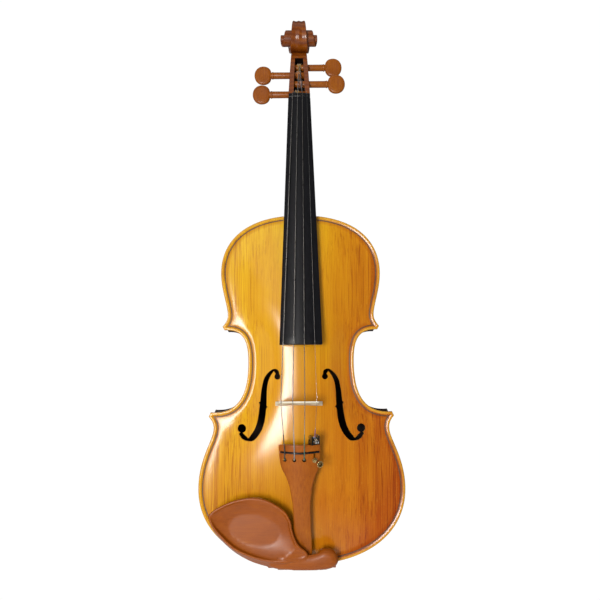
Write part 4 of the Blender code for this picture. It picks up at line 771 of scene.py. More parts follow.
def plate(name, flip, rise, mats):
    rows = [(7.5, -EDGE), (2.0, -EDGE), (1.0, -3.93), (0.45, -3.65), (0.12, -3.2), (0.0, -2.6), (0.0, -1.7), (0.06, -1.15), (0.25, -0.6),
            (0.6, -0.2), (1.05, 0.0), (1.6, 0.06), (2.2, 0.0), (2.8, -0.16), (3.3, -0.36), (PURF_OUT, -0.5)]
    if not flip:
        rows += [(PURF_OUT + 0.02, -1.0), (PURF_IN - 0.02, -1.0)]
    rows += [(PURF_IN, -0.62), (6.0, -0.68), (7.2, -0.66), (8.6, None)]
    pts, faces, loops, ed = [], [], [], []
    for d, h in rows:
        r = ring(d)
        loops.append(list(range(len(pts), len(pts) + len(r))))
        hh = arch(r[:, 0], r[:, 1], rise) if h is None else np.full(len(r), h)
        if h is None:
            hh = np.minimum(hh, -0.6)
        pts += [(x, z, q) for (x, z), q in zip(r, hh)]
        side = 40.0 if (h is not None and h <= -3.0) else d
        ed += [side] * len(r)
    n = len(loops[0])
    for a, b in zip(loops, loops[1:]):
        faces += [[a[i], a[(i + 1) % n], b[(i + 1) % n], b[i]] for i in range(n)]
    outer = len(faces)
    faces += cap(loops[-1], pts, lambda x, z: arch(x, z, rise), 3.4)
    faces += cap(loops[0], pts, lambda x, z: arch(x, z, rise) - PLATE_T - 0.4, 9.0)
    ed += [40.0] * (len(pts) - len(ed))
    if flip:
        pts = [(x, z, BACK_H - h) for x, z, h in pts]
    return mesh(name, pts, faces, mats, smooth=32.0, attr=ed)


F_PTS = [(-28.6, 192.6), (-31.8, 190.6), (-35.2, 187.2), (-38.0, 182.6), (-39.6, 176.5), (-40.9, 168.0), (-41.6, 160.2), (-43.2, 159.0),
         (-41.9, 157.6), (-43.0, 148.5), (-44.6, 139.5), (-47.8, 131.5), (-53.4, 123.8), (-57.5, 127.8),
         (-60.5, 130.0), (-63.4, 128.2), (-59.6, 123.2), (-54.0, 121.2), (-48.5, 121.6), (-43.6, 126.2),
         (-39.2, 133.5), (-36.6, 142.5), (-35.3, 153.6), (-33.8, 155.0), (-35.1, 156.4), (-34.9, 163.0), (-34.6, 173.0), (-33.2, 181.0),
         (-30.2, 187.2), (-27.6, 190.6), (-25.4, 187.6), (-22.0, 187.8), (-22.6, 190.8), (-25.4, 192.8)]
F_CORNERS = [6, 7, 8, 12, 14, 15, 22, 23, 24, 29, 30, 31]
NECK_ROOT_Z = BODY_LENGTH - 6.0

# ------------------------------------------------------------------ top plate


def shade_inside_face(ob, flip):
    """The plate's inner face takes a near-black wood: painted shade inside the body."""
    ob.data.materials.append(M["inside_shade"])
    k = len(ob.data.materials) - 1
    for q in ob.data.polygons:
        n = -q.normal.y * (-1 if flip else 1)
        if n < -0.5:
            q.material_index = k


top = plate("belly", False, ARCH_TOP, ("spruce", "spruce_cut"))
cutters = []
for side in (1, -1):
    poly = [(p[0] * side, p[1]) for p in cornered(F_PTS, F_CORNERS, 6)]
    cutters.append(prism("f_stem", poly, -8, 22, "spruce_cut"))
    for ex, ez, er in ((-24.0, 185.2, 3.0), (-60.2, 133.4, 4.3)):
        cutters.append(rod("f_eye", er, W(ex * side, ez, -8), W(ex * side, ez, 22), "spruce_cut", 48))
cutters.append(block("root_slot", (-17.2, 17.2), (NECK_ROOT_Z - GAP, BODY_LENGTH + 5), (-10, 8), "spruce_cut"))
cutters.append(block("saddle_slot", (-17.3, 17.3), (-6, 3.2), (-2.6, 5), "spruce_cut"))
cut(top, cutters, smooth=32.0)
take(top, "body", ["top_plate"])

# ------------------------------------------------------------------ back plate, with its button
back = plate("back", True, ARCH_BACK, ("maple_back",))
shade_inside_face(back, True)
btn = []
for q, r in ((BACK_H + 3.95, 10.6), (BACK_H + 3.6, 11.0), (BACK_H + 1.4, 11.0), (BACK_H + 0.6, 10.6), (BACK_H + 0.35, 9.9)):
    btn.append([(r * math.cos(a), BODY_LENGTH + 2.0 + r * math.sin(a), q) for a in np.linspace(0, 2 * math.pi, 72, endpoint=False)])
cut(back, [loft("button", btn, "maple_back")], "UNION", smooth=32.0)
take(back, "body", ["back_plate"])

# purfling: three strips side by side; the back's has the same form
for name, flip, rides in (("purfling", False, ["purfling_top"]), ("purfling_back", True, [])):
    ds = (PURF_OUT + 0.03, 4.22, 4.6, PURF_IN - 0.03)
    rows = [(d, -0.50 - 0.1 * k / 3) for k, d in enumerate(ds)] if not flip else [(d, -0.42 - 0.04 * k) for k, d in enumerate(ds)]
    rows = rows + [(ds[-1], -0.95 if not flip else -0.75), (ds[0], -0.95 if not flip else -0.75)]
    v, f, mi = [], [], []
    for d, h in rows:
        v += [(x, z, h if not flip else BACK_H - h) for x, z in ring(d)]
    n = len(v) // len(rows)
    for k in range(len(rows)):
        a, b = k * n, ((k + 1) % len(rows)) * n
        f += [[a + i, a + (i + 1) % n, b + (i + 1) % n, b + i] for i in range(n)]
        mi += [1 if k == 1 else 0] * n
    o = mesh(name, v, f, ("purf_black", "purf_white"), smooth=30.0, idx=mi)
    if not flip:
        cut(o, [block("slot", (-17.8, 17.8), (NECK_ROOT_Z - 0.9, BODY_LENGTH + 5), (-10, 8), "purf_black")])
    take(o, "body", rides)

# ------------------------------------------------------------------ ribs
RIB_TOP, RIB_LOW = -EDGE - GAP, -EDGE - RIB_H + GAP


def band(name, path, h0, h1, thick, mats, cols=14):
    """A bent strip, thickened both ways."""
    t = np.gradient(path, axis=0)
    t /= np.linalg.norm(t, axis=1)[:, None]
    nrm = np.stack([-t[:, 1], t[:, 0]], axis=1) * thick / 2
    secs = []
    for p, q in zip(path, nrm):
        a, b = p + q, p - q
        secs.append([(a[0], a[1], h0), (b[0], b[1], h0), (b[0], b[1], h1), (a[0], a[1], h1)])
    return loft(name, secs, mats, smooth=35.0)


_rib = ring_chains(OVERHANG + RIB_T / 2)
low = resample(_rib[0], 90, 0.0, 0.9)
low = np.vstack([low[::-1] * [-1, 1], low[1:]])
o = band("rib_band_lower", low, RIB_TOP, RIB_LOW, RIB_T, "maple_rib")
cut(o, [rod("pin_hole", 4.0, W(0, -10, END_PIN_H), W(0, 12, END_PIN_H), "maple_rib")], smooth=35.0)
take(o, "body", ["rib_lower"])
for side, word in ((-1, "left"), (1, "right")):
    take(band("rib_band_waist_" + word, resample(_rib[1], 80, 0.9, 0.9) * [side, 1], RIB_TOP, RIB_LOW, RIB_T, "maple_rib"), "body", ["rib_waist_" + word])
    take(band("rib_band_upper_" + word, resample(_rib[2], 90, 0.9, 17.6) * [side, 1], RIB_TOP, RIB_LOW, RIB_T, "maple_rib"), "body", ["rib_upper_" + word])

# ------------------------------------------------------------------ neck, pegbox and scroll


def fb_top(z):
    return FB_TOP0 + (486.0 - z) * FB_SLOPE


def fb_width(z):
    return FB_W_NUT + (FB_W_END - FB_W_NUT) * (NUT_Z - z) / (NUT_Z - FB_END_Z)


def fb_low(z):
    a, b = [fb_top(q) - (FB_R - math.sqrt(FB_R ** 2 - fb_width(q) ** 2 / 4)) - FB_EDGE for q in (NUT_Z, FB_END_Z)]
    return a + (b - a) * (NUT_Z - z) / (NUT_Z - FB_END_Z)


NECK = ((354.6, -34.7, 4.5, 0.62), (359, -34.7, 3.6, 0.60), (363, -34.5, 2.8, 0.6), (366, -31.5, 2.4, 0.72),
        (369, -24, 2.2, 0.85), (373, -14.5, 2.1, 0.95), (379, -8.6, 2.0, 1.0), (400, -8.6, 2.0, 1.0),
        (430, -12.2, 2.0, 1.0), (460, -16.2, 2.0, 1.0), (478, -19.2, 2.0, 1.0), (486.5, -22.0, 2.4, 1.0))


def neck_section(z, low_h, power, squeeze, n=40):
    w, t = fb_width(z) / 2 - 0.2, fb_low(z) - GAP
    out = []
    for k in range(n + 1):
        a = math.pi * k / n
        c, s = math.cos(a), math.sin(a)
        x = w * math.copysign(abs(c) ** (2 / power), c)
        d = abs(s) ** (2 / power)
        out.append((x * (1 - (1 - squeeze) * d), z, t - (t - low_h) * d))
    return out


stations = smooth_path([np.array(s) for s in NECK], 5)
neck = loft("neck", [neck_section(*s) for s in stations], "maple_neck", smooth=50.0)
root = block("root", (-12.6, 12.6), (NECK_ROOT_Z, 357.0), (-34.7, fb_low(354) - GAP - 0.02), "maple_neck")

PEGBOX = ((484.0, -9.0, 484.0, -21.5, 11.9), (490.4, -6.5, 489.0, -26.0, 11.8), (505, -11.5, 501, -33.0, 11.2),
          (520, -18.0, 515, -40.0, 10.6), (535, -25.0, 529, -47.0, 9.9), (547, -31.0, 541, -53.5, 9.3),
          (554.5, -36.0, 549, -58.0, 8.9), (560.5, -43.0, 556, -61.4, 8.3), (565.5, -48.5, 564, -63.8, 7.5))
secs = []
for zf, hf, zb, hb, w in smooth_path([np.array(s) for s in PEGBOX], 5):
    t = np.array([zb - zf, hb - hf])
    t /= np.linalg.norm(t)
    p = lambda a: (zb - a * t[0], hb - a * t[1])
    # the back of the pegbox has two shallow flutes each side of a spine
    prof = [(-w, None), (-w, 2.2), (-w + 0.35, 0.9), (-w + 1.1, 0.2), (-w + 1.9, 0.0), (-w * 0.62, 0.75), (-w * 0.40, 1.05), (-w * 0.18, 0.55), (0, 0.0),
            (w * 0.18, 0.55), (w * 0.40, 1.05), (w * 0.62, 0.75), (w - 1.9, 0.0), (w - 1.1, 0.2), (w - 0.35, 0.9), (w, 2.2), (w, None)]
    sec = [(x, zf, hf) if a is None else (x, *p(a)) for x, a in prof]
    # front arrises just broken
    sec[0] = (-w, zf + 0.35 * t[0], hf + 0.35 * t[1])
    sec[-1] = (w, zf + 0.35 * t[0], hf + 0.35 * t[1])
    sec += [(w - 0.4, zf, hf), (-w + 0.4, zf, hf)]
    secs.append(sec)
pegbox = loft("pegbox", secs, "maple_neck", smooth=50.0)

EYE_Z, EYE_H = 573.5, -40.5
TURN = 80
STEPS = int(TURN * 2.55)


def spiral(i):
    q = i / TURN * 4
    return 21.5 * 0.845 ** q, 6.4 + (2.15 * min(q, 6.9) if q > 0 else -1.35 * q)


def on_spiral(i, r):
    a = 2 * math.pi * i / TURN
    return EYE_Z + r * math.cos(a), EYE_H + r * math.sin(a)


START = -int(TURN * 0.36)
LAST = STEPS
CH = 0.7                                # chamfer along each turn's arris
DIP = 0.9                               # hollow of each turn's face
sv, sf, idx = [], [], {}


def put(key, p):
    if key not in idx:
        idx[key] = len(sv)
        sv.append(p)
    return idx[key]


def ev(i, side, k):
    """Points from the wall's top (0), across the chamfer (1), to the face."""
    r, w = spiral(i)
    if k == 0:
        rr, ww = r, w - CH * 0.8
    else:
        rr, ww = r - CH, w
    z, h = on_spiral(i, rr)
    return put(("e", i, side, k), (side * ww, z, h))


def fv(i, side, k, n=4):
    """Across the face of turn i, hollowed, from the chamfer in to the next turn's wall."""
    r, w = spiral(i)
    r1 = spiral(i + TURN)[0] if i + TURN <= LAST else 0.0
    t = k / n
    rr = (r - CH) * (1 - t) + r1 * t
    dip = DIP * math.sin(math.pi * min(t * 1.0, 1.0)) * (1 if t < 1 else 0)
    z, h = on_spiral(i, rr)
    return put(("f", i, side, k), (side * (w - dip * min(1.0, (r - r1) / 6.0)), z, h))


NF = 4
for side in (-1, 1):
    for i in range(START, LAST):
        sf.append([ev(i, side, 0), ev(i + 1, side, 0), ev(i + 1, side, 1), ev(i, side, 1)])
        if i + TURN <= LAST - 1:
            row = lambda j: [ev(j, side, 1)] + [fv(j, side, k) for k in range(1, NF + 1)]
            a, b = row(i), row(i + 1)
            for k in range(NF):
                sf.append([a[k], b[k], b[k + 1], a[k + 1]])
            # the next turn's wall stands on this face
            sf.append([a[NF], b[NF], ev(i + 1 + TURN, side, 0), ev(i + TURN, side, 0)])
    w = spiral(LAST)[1]
    c = put(("c", side), (side * (w + 0.35), EYE_Z, EYE_H))
    for i in range(LAST - TURN, LAST):
        sf.append([ev(i, side, 1), ev(i + 1, side, 1), c])
    sf.append([c, ev(LAST - TURN, side, 1), fv(LAST - TURN, side, NF), ev(LAST, side, 0), ev(LAST, side, 1)])
for i in range(START, START + TURN - 1):
    # the outer wall: hollowed each side of a spine
    def wall(j):
        r, w = spiral(j)
        ww = w - CH * 0.8
        out = [ev(j, 1, 0)]
        for u, d in ((0.8, 0.12), (0.62, 0.62), (0.42, 0.78), (0.2, 0.45), (0.0, 0.0), (-0.2, 0.45), (-0.42, 0.78), (-0.62, 0.62), (-0.8, 0.12)):
            z, h = on_spiral(j, r - d)
            out.append(put(("w", j, u), (ww * u, z, h)))
        return out + [ev(j, -1, 0)]
    a, b = wall(i), wall(i + 1)
    for k in range(len(a) - 1):
        sf.append([a[k], b[k], b[k + 1], a[k + 1]])
scroll = mesh("scroll", sv, sf, "maple_neck", smooth=40.0)
bm = bmesh.new()
bm.from_mesh(scroll.data)
bmesh.ops.holes_fill(bm, edges=[e for e in bm.edges if e.is_boundary])
bmesh.ops.triangulate(bm, faces=[f for f in bm.faces if len(f.verts) > 8])
bmesh.ops.recalc_face_normals(bm, faces=bm.faces)
bm.to_mesh(scroll.data)
bm.free()

# one carved piece: the neck joined with its root, pegbox and scroll
for o in (root, pegbox, scroll):
    m = neck.modifiers.new("u", "BOOLEAN")
    m.operation, m.object, m.solver = "UNION", o, "EXACT"
applied(neck)
for o in (root, pegbox, scroll):
    bpy.data.objects.remove(o, do_unlink=True)
secs = []
for z, hf, hb, w in ((488.7, -8.6, -20.2, 6.2), (491.2, -8.4, -21.0, 6.2), (491.6, 5, -21.2, 6.2), (505, 0, -27.5, 5.9), (520, -6, -34.5, 5.5), (535, -14, -41.5, 5.0), (545.5, -20, -46.0, 4.6)):
    secs.append([(-w, z, hf), (w, z, hf), (w, z, hb + 1.2), (w - 1.2, z, hb), (-w + 1.2, z, hb), (-w, z, hb + 1.2)])
# the trough's cut faces take the near-black wood: painted shade inside the pegbox
tools = [loft("trough", secs, "trough_dark", smooth=None)]
for z, h in PEG_ZH:
    tools.append(rod("peg_hole", PEG_R + 0.35, W(-30, z, h), W(30, z, h), "maple_neck", 40))
tools.append(block("nut_seat", (-14, 14), (NUT_Z - 0.7, 490.6 + GAP), (-5.9, 4), "maple_neck"))
cut(neck, tools, smooth=38.0)
take(neck, "body", ["neck_scroll"])

# ------------------------------------------------------------------ fingerboard and nut
secs = []
zs = [FB_END_Z, FB_END_Z + 0.25, FB_END_Z + 0.7] + list(np.linspace(FB_END_Z + 8, NUT_Z - GAP - 6, 14)) + [NUT_Z - GAP - 0.3, NUT_Z - GAP]
for z in zs:
    w = fb_width(z) / 2
    r = 0.55 if z == FB_END_Z else (0.25 if z < FB_END_Z + 0.5 else 0.0)
    w -= r
    arcp = []
    for k in range(33):
        x = -w + 2 * w * k / 32
        drop = 0.5 if k in (0, 32) else (0.12 if k in (1, 31) else 0.0)
        arcp.append((x, z, fb_top(z) - (FB_R - math.sqrt(FB_R ** 2 - x * x)) - drop - r))
    # the underside is hollowed where it stands clear of the body
    hollow = 2.4 * min(1.0, max(0.0, (330.0 - z) / 60.0))
    lo = [(w, z, fb_low(z) + 0.5), (w - 0.5, z, fb_low(z))]
    lo += [(w * u, z, fb_low(z) + hollow * (1 - (abs(u) / 0.78) ** 2.4)) for u in (0.78, 0.5, 0.25, 0.0, -0.25, -0.5, -0.78)]
    lo += [(-w + 0.5, z, fb_low(z)), (-w, z, fb_low(z) + 0.5)]
    secs.append(arcp + lo)
take(loft("fingerboard_ebony", secs, "ebony", smooth=30.0), "body", ["fingerboard"])

nz0, nz1 = NUT_Z, 490.6
secs = []
for z, rise in ((nz0, -0.1), (nz0 + 0.25, 0.3), (nz0 + 0.8, 0.62), (nz0 + 1.6, 0.75), (nz0 + 2.6, 0.7), (nz1 - 1.6, 0.45), (nz1 - 0.7, 0.0), (nz1 - 0.2, -0.6), (nz1, -1.2)):
    arcp = []
    for k in range(61):
        x = -11.8 + 23.6 * k / 60
        h = FB_TOP0 + (486 - nz0) * FB_SLOPE + rise - (FB_R - math.sqrt(FB_R ** 2 - x * x))
        if k in (0, 60):
            h -= 0.7
        for sx, sr in zip(STRING_NUT_X, STRING_R):
            g = max(0.0, 1 - abs(x - sx) / (sr + 0.5))
            h -= 0.35 * g
        arcp.append((x, z, h))
    secs.append(arcp + [(11.8, z, -5.6), (-11.8, z, -5.6)])
take(loft("nut_ebony", secs, "ebony", smooth=38.0), "body", ["nut"])

# ------------------------------------------------------------------ pegs
for k, name in enumerate("gdae"):
    z, h = PEG_ZH[k]
    s = PEG_SIDE[k]
    at = W(0, z, h)
    cheek = 11.6 - (z - 490) * 0.04
    hx = PEG_HEAD[k]
    prof = [(0, hx - 7.2), (2.2, hx - 7.3), (2.9, hx - 8.0), (3.25, hx - 8.8), (3.4, hx - 9.4), (3.45, hx - 9.9), (3.85, hx - 10.15), (3.95, hx - 10.5), (3.95, hx - 11.6),
            (3.85, hx - 11.9), (3.55, hx - 12.15), (PEG_R + 0.05, hx - 12.6), (PEG_R, cheek + 2.3), (PEG_R, -cheek + 0.2),
            (PEG_R - 0.2, -cheek - 0.1), (PEG_R - 0.7, -cheek - 0.25), (0, -cheek - 0.3)]
    peg = turned("peg_%s_shaft" % name, prof, at, (s, 0, 0), "boxwood_peg", steps=48)
    take(peg, "peg_" + name, ["peg_" + name])
    # thumb piece: a round disc with a hollowed face each side and a raised rim
    v, f = [], []
    NU, NV = 56, 22
    cx = s * hx
    for i in range(NV + 1):
        t = math.pi * i / NV
        ring_r, yy = math.sin(t), math.cos(t)
        for j in range(NU):
            a = 2 * math.pi * j / NU
            ca, sa = math.cos(a), math.sin(a)
            # flatter on the side towards the shaft, with two round shoulders
            R = 1.0 + 0.06 * math.sin(2 * a) ** 2 * (1.0 if ca * s < 0 else 0.15)
            rr = ring_r ** 0.72 * R
            thick = 3.7 * abs(yy) ** 0.72 * (0.62 + 0.38 * min(1.0, rr) ** 2.2)
            v.append((cx + rr * 9.7 * ca, z + rr * 10.7 * sa, h + math.copysign(thick, yy)))
    for i in range(NV):
        for j in range(NU):
            a, b = i * NU + j, i * NU + (j + 1) % NU
            f.append([a, b, b + NU, a + NU])
    head = mesh("peg_%s_head" % name, v, f, "boxwood_peg", smooth=60.0, weld=2e-5)
    take(head, "peg_" + name, ())

# ------------------------------------------------------------------ strings
WIND_X = (-2.1, -0.4, 0.4, 1.9)
STR_MATS = {"g": ("wound_silver", "silk_black", "silk_black"), "d": ("wound_silver", "silk_grey", "silk_black"),
            "a": ("wound_dark", "silk_green", "silk_black"), "e": ("plain_steel", "silk_violet", "plain_steel")}


def bridge_h(x):
    u = x - BRIDGE_X
    return BRIDGE_TOP - (FB_R - math.sqrt(FB_R ** 2 - u * u))


def tail_axis(z):
    return 1.2 - (z - 6.0) * 0.029


def tail_top(z):
    return 12.4 + (z - 6.0) * 0.183


TAIL_R = 36.0


def tail_surface(x, z):
    u = x - tail_axis(z)
    return tail_top(z) - (TAIL_R - math.sqrt(TAIL_R ** 2 - u * u))


def along(pts, step=1.5):
    """Points set close together along straight runs."""
    out = [np.array(pts[0], float)]
    for a, b in zip(pts, pts[1:]):
        a, b = np.array(a, float), np.array(b, float)
        n = max(1, int(np.linalg.norm(b - a) / step))
        out += [a + (b - a) * (k / n) for k in range(1, n + 1)]
    return out


for k, name in enumerate("gdae"):
    z, h = PEG_ZH[k]
    r = STRING_R[k]
    xn, xb, xt, xw = STRING_NUT_X[k], STRING_BRIDGE_X[k], STRING_TAIL_X[k], WIND_X[k]
    reach = PEG_R + 0.32 + 2 * max(r, 0.3) + r + 0.32
    hn = FB_TOP0 + 0.85 + r + 0.3 - (FB_R - math.sqrt(FB_R ** 2 - xn ** 2))
    body_mat, silk_tail, silk_peg = STR_MATS[name]
    pts = [(xw, z - 1.0, h + reach)]
    if name == "g":
        pts.append((xn * 0.8 + xw * 0.2, nz1 + r + 0.35, hn - 1.9))
    pts += [(xn, nz1 - 1.0, hn - 0.3), (xn, nz0 + 1.0, hn + 0.05)]
    zb = BRIDGE_Z + BRIDGE_LEAN
    pts += [(xb, zb + 1.0, bridge_h(xb) + r + 0.33), (xb, zb - 1.0, bridge_h(xb) + r + 0.3)]
    if name != "e":
        pts += [(xt, 114.4, tail_surface(xt, 114) + 0.9 + r + 0.4), (xt, 112.2, tail_surface(xt, 112) + 0.9 + r + 0.3),
                (xt, 107.2, tail_surface(xt, 107) - 0.6), (xt, 105.6, tail_surface(xt, 106) - 3.2)]
        silk_z = 131.5
    else:
        pts += [(TUNER_X + 0.2, 127.6, 36.0 - r)]
        silk_z = 136.5
    fine = along(pts, 1.2)
    ids, radii = [], []
    for p in fine:
        silky = p[1] < silk_z or p[1] > (491.5 if name != "e" else 900)
        radii.append(r + (0.1 if name != "e" else 0.22) if silky else r)
        ids.append(1 if p[1] < silk_z else (2 if p[1] > 491.5 and name != "e" else 0))
    o = tube("string_%s_wire" % name, fine, r, (body_mat, silk_tail, silk_peg), sides=12, radii=radii, idx=ids)
    take(o, "body", ["string_" + name])
    # turns of wire on the peg
    coil = []
    rc = PEG_R + 0.1 + r + 0.12
    turns = min(5.2, 4.4 / (2 * (r + 0.12)))
    ends = turns * (2 * (r + 0.12))
    N = int(turns * 28)
    for i in range(N + 1):
        a = 2 * math.pi * (i / 28)
        coil.append((xw + (-ends / 2 + ends * i / N), z + rc * math.sin(a), h + rc * math.cos(a)))
    o = tube("string_%s_turns" % name, coil, r + 0.08, ({"g": "silk_gold", "d": "silk_tan", "a": "silk_gold", "e": "silk_pink"}[name],), sides=8)
    take(o, "peg_" + name, ["string_%s_winding" % name])
    if name != "e":
        # the ball end seated in the tailpiece
        # the ball end takes the darkened brass: painted shade in the keyhole
        take(turned("ball_end_" + name, [(0.5, 1.3), (1.35, 1.2), (1.5, 0.8), (1.5, -0.8), (1.35, -1.2), (0.5, -1.3), (0.5, 1.3)],
                    W(xt, 106.0, tail_surface(xt, 106) - 4.4), (1, 0, 0), "brass_dark", 24), "body", ())

# ------------------------------------------------------------------ bridge
BR = [(-22.9, 0.0), (-23.5, 1.6), (-20.5, 5.2), (-18.6, 9.0), (-20.3, 12.4), (-22.0, 16.5), (-21.4, 20.4), (-20.0, 23.5)]
FOOT = float(max(arch(BRIDGE_X + u, BRIDGE_Z, ARCH_TOP)[0] for u in (-12.0, 12.0))) + 0.35
FULL = BRIDGE_TOP - FOOT
BSC = FULL / (BRIDGE_TOP - 11.0)


def bridge_pt(u, y, face):
    y = y * BSC
    t = y / FULL
    half = 2.1 * (1 - t) + 0.75 * t
    return (BRIDGE_X + u, BRIDGE_Z + BRIDGE_LEAN * t + face * half, FOOT + y)


def bridge_prism(name, poly, f=(-1.0, 1.0), mat="bridge_maple"):
    return loft(name, [[bridge_pt(u, y, q) for u, y in poly] for q in f], mat)


top_arc = [(-18.8 + 37.6 * k / 24, BRIDGE_TOP - 11.0 - (FB_R - math.sqrt(FB_R ** 2 - (-18.8 + 37.6 * k / 24) ** 2))) for k in range(25)]
outl = [(-12.0, -0.02)] + BR + top_arc + [(-x, y) for x, y in BR[::-1]] + [(12.0, -0.02), (10.5, 3.6), (5.0, 6.2), (0.0, 7.0), (-5.0, 6.2), (-10.5, 3.6)]
corners = [0, 1, 2, 9, 33, 40, 41, 42]
bridge = bridge_prism("bridge_body", cornered(outl, corners, 5))
toes = []
for uu in (-1, 1):
    drop = min(2.2, FOOT - 0.35 - float(arch(BRIDGE_X + uu * 23.2, BRIDGE_Z, ARCH_TOP)[0]))
    toe = [(uu * 13.0, 0.6), (uu * 22.6, 0.6), (uu * 22.9, -drop)]
    toes.append(loft("toe", [[(BRIDGE_X + u, BRIDGE_Z + q, FOOT + y) for u, y in toe] for q in (-2.0, 2.0)], "bridge_maple"))
cut(bridge, toes, "UNION")
heart = [(0, 13.6), (1.7, 15.4), (3.3, 16.6), (3.7, 18.3), (2.9, 19.8), (1.3, 20.0), (0.45, 19.1), (0.0, 21.2), (-0.45, 19.1), (-1.3, 20.0), (-2.9, 19.8), (-3.7, 18.3), (-3.3, 16.6), (-1.7, 15.4)]
kid = lambda s: [(s * (15.4 + 2.9 * math.cos(a) - 0.9 * math.cos(2 * a)), 20.0 + 2.5 * math.sin(a)) for a in np.linspace(0, 2 * math.pi, 36, endpoint=False)]
bite = lambda s: [(s * (20.8 + 2.6 * math.cos(a)), 9.2 + 2.1 * math.sin(a)) for a in np.linspace(0, 2 * math.pi, 36, endpoint=False)]
cut(bridge, [bridge_prism("heart", cornered(heart, [0, 6, 7, 8], 4), (-1.8, 1.8))] + [bridge_prism("eye", q(s), (-1.8, 1.8)) for q in (kid, bite) for s in (-1, 1)])
soften(bridge, 0.22, 2, 40, 40)
# faces at the top that face the front or the fingerboard take the whiter copy: painted light
bridge.data.materials.append(M["bridge_lit_edge"])
for p in bridge.data.polygons:
    if p.normal.z > 0.5 and -p.center.y / MM + HANG_H > FOOT + FULL * 0.8:
        p.material_index = 1
    elif p.normal.y < -0.75 and -p.center.y / MM + HANG_H > FOOT + FULL * 0.8:
        p.material_index = 1
take(bridge, "body", ["bridge"])

# ------------------------------------------------------------------ tail end
sad = [(-.2, -2.2), (2.9, -2.2), (2.9, .35), (5.6, .35), (5.5, 1.2), (4.9, 2.3), (3.9, 3.3), (2.8, 3.85), (1.6, 4.0), (0.5, 3.8), (-.2, 3.1)]
o = loft("saddle_ebony", [[(x, z, h - dh) if h > 0.4 else (x, z, h) for z, h in sad] for x, dh in ((-17.0, 0.9), (-16.6, 0.35), (-15.8, 0.0), (15.8, 0.0), (16.6, 0.35), (17.0, 0.9))], "ebony", smooth=38.0)
take(o, "body", ["saddle"])

prof = [(0, 0.15), (2.5, 0.0), (4.6, 0.15), (5.8, 0.5), (6.7, 1.3), (7.1, 2.3), (6.95, 3.2), (6.2, 4.4), (5.0, 5.3), (4.4, 5.9), (4.2, 7.0), (4.4, 7.9), (5.1, 8.6), (6.0, 9.0), (6.25, 9.5), (6.2, 10.2),
        (5.8, 10.35), (3.65, 10.4), (3.4, 31.0), (0, 31.0)]
take(turned("end_pin_turned", prof, W(0, -8.4, END_PIN_H), (0, 0, 1), "boxwood_tail", 56), "body", ["end_pin"])

gut = []
for s in (-1, 1):
    gut.append([(s * 2.6 + 1.3, 30.0, tail_top(30) - 7.6), (s * 2.8 + 1.0, 16.0, 7.4), (s * 3.2 + 0.6, 7.0, 5.6),
                (s * 3.6, 2.6, 5.3), (s * 4.0, -0.9, 4.2), (s * 4.4, -1.6, 0), (s * 5.0, -1.7, -12.0), (s * 5.55, -1.7, END_PIN_H)])
bend = [(5.55 * math.cos(a), -1.7, END_PIN_H - 5.55 * math.sin(a)) for a in np.linspace(math.pi, 0, 9)[1:-1]]
take(tube("tail_cord_loop", smooth_path(gut[0] + bend + gut[1][::-1], 6), 0.9, "nylon", sides=14), "body", ["tail_gut"])

TAIL = ((8.0, 6.2), (11, 8.0), (18, 8.8), (30, 8.5), (43, 8.3), (62, 8.5), (72, 9.6), (82, 11.4), (90, 14.2), (96, 17.2), (101, 18.8), (110, 19.8), (120.5, 20.2))
fine = [tuple(p) for p in smooth_path([np.array(p, float) for p in TAIL], 5)]
fine = [(8.0, 5.0)] + [(8.25, 5.9)] + [(z, w) for z, w in fine if z > 8.6 and z < 120.0] + [(120.25, 20.05), (120.5, 19.7)]
secs = []
for z, w in fine:
    c = tail_axis(z)
    lowr = 0.55 if z in (8.0, 120.5) else (0.2 if z in (8.25, 120.25) else 0.0)
    arcp = []
    for k in range(41):
        t = -1 + 2 * k / 40
        x = c + w * t
        # the top's edges are rounded over
        e = max(0.0, (abs(t) * w - (w - 1.3)) / 1.3)
        arcp.append((x, z, tail_surface(x, z) - 0.55 * (1 - math.sqrt(max(0.0, 1 - e * e))) - lowr))
    e = min(3.0, 1.6 + w * 0.09)
    base = tail_surface(c - w, z) - e + lowr * 0.6
    th = 5.0
    low = [(c + w, z, base + 0.5), (c + w - 0.5, z, base), (c + w * 0.7, z, min(base, tail_surface(c + w * .7, z) - th)), (c, z, tail_top(z) - th - 0.8),
           (c - w * 0.7, z, min(base, tail_surface(c - w * .7, z) - th)), (c - w + 0.5, z, base), (c - w, z, base + 0.5)]
    secs.append(arcp + low)
tail = loft("tailpiece_body", secs, "boxwood_tail", smooth=40.0)
tools = []
for x in STRING_TAIL_X:
    tools.append(rod("key", 1.9, W(x, 106.2, 20), W(x, 106.2, 45), "boxwood_tail", 36))
    tools.append(block("slot", (x - 0.75, x + 0.75), (106.2, 112.6), (20, 45), "boxwood_tail"))
for s in (-1, 1):
    tools.append(rod("gut", 1.4, W(s * 2.6 + 1.3 + s * -0.05, 21.0, tail_top(30) - 9.0), W(s * 2.6 + 1.3, 31.5, tail_top(30) - 7.4), "boxwood_tail", 24))
fret_sec, slot_sec, line_sec = [], [], []
for x in np.linspace(-20.6, 17.0, 33):
    t = tail_surface(x, 113.5)
    dz = -0.9 * (1 - abs(x + 1.9) / 19.0)
    slot_sec.append([(x, 112.4 + dz, t - 1.2), (x, 114.8 + dz, t - 1.2), (x, 114.8 + dz, t + 3), (x, 112.4 + dz, t + 3)])
    fret_sec.append([(x, 112.8 + dz, t - 0.85), (x, 114.4 + dz, t - 0.85), (x, 114.4 + dz, t + 0.35), (x, 114.15 + dz, t + 0.75), (x, 113.6 + dz, t + 0.9), (x, 113.05 + dz, t + 0.75), (x, 112.8 + dz, t + 0.35)])
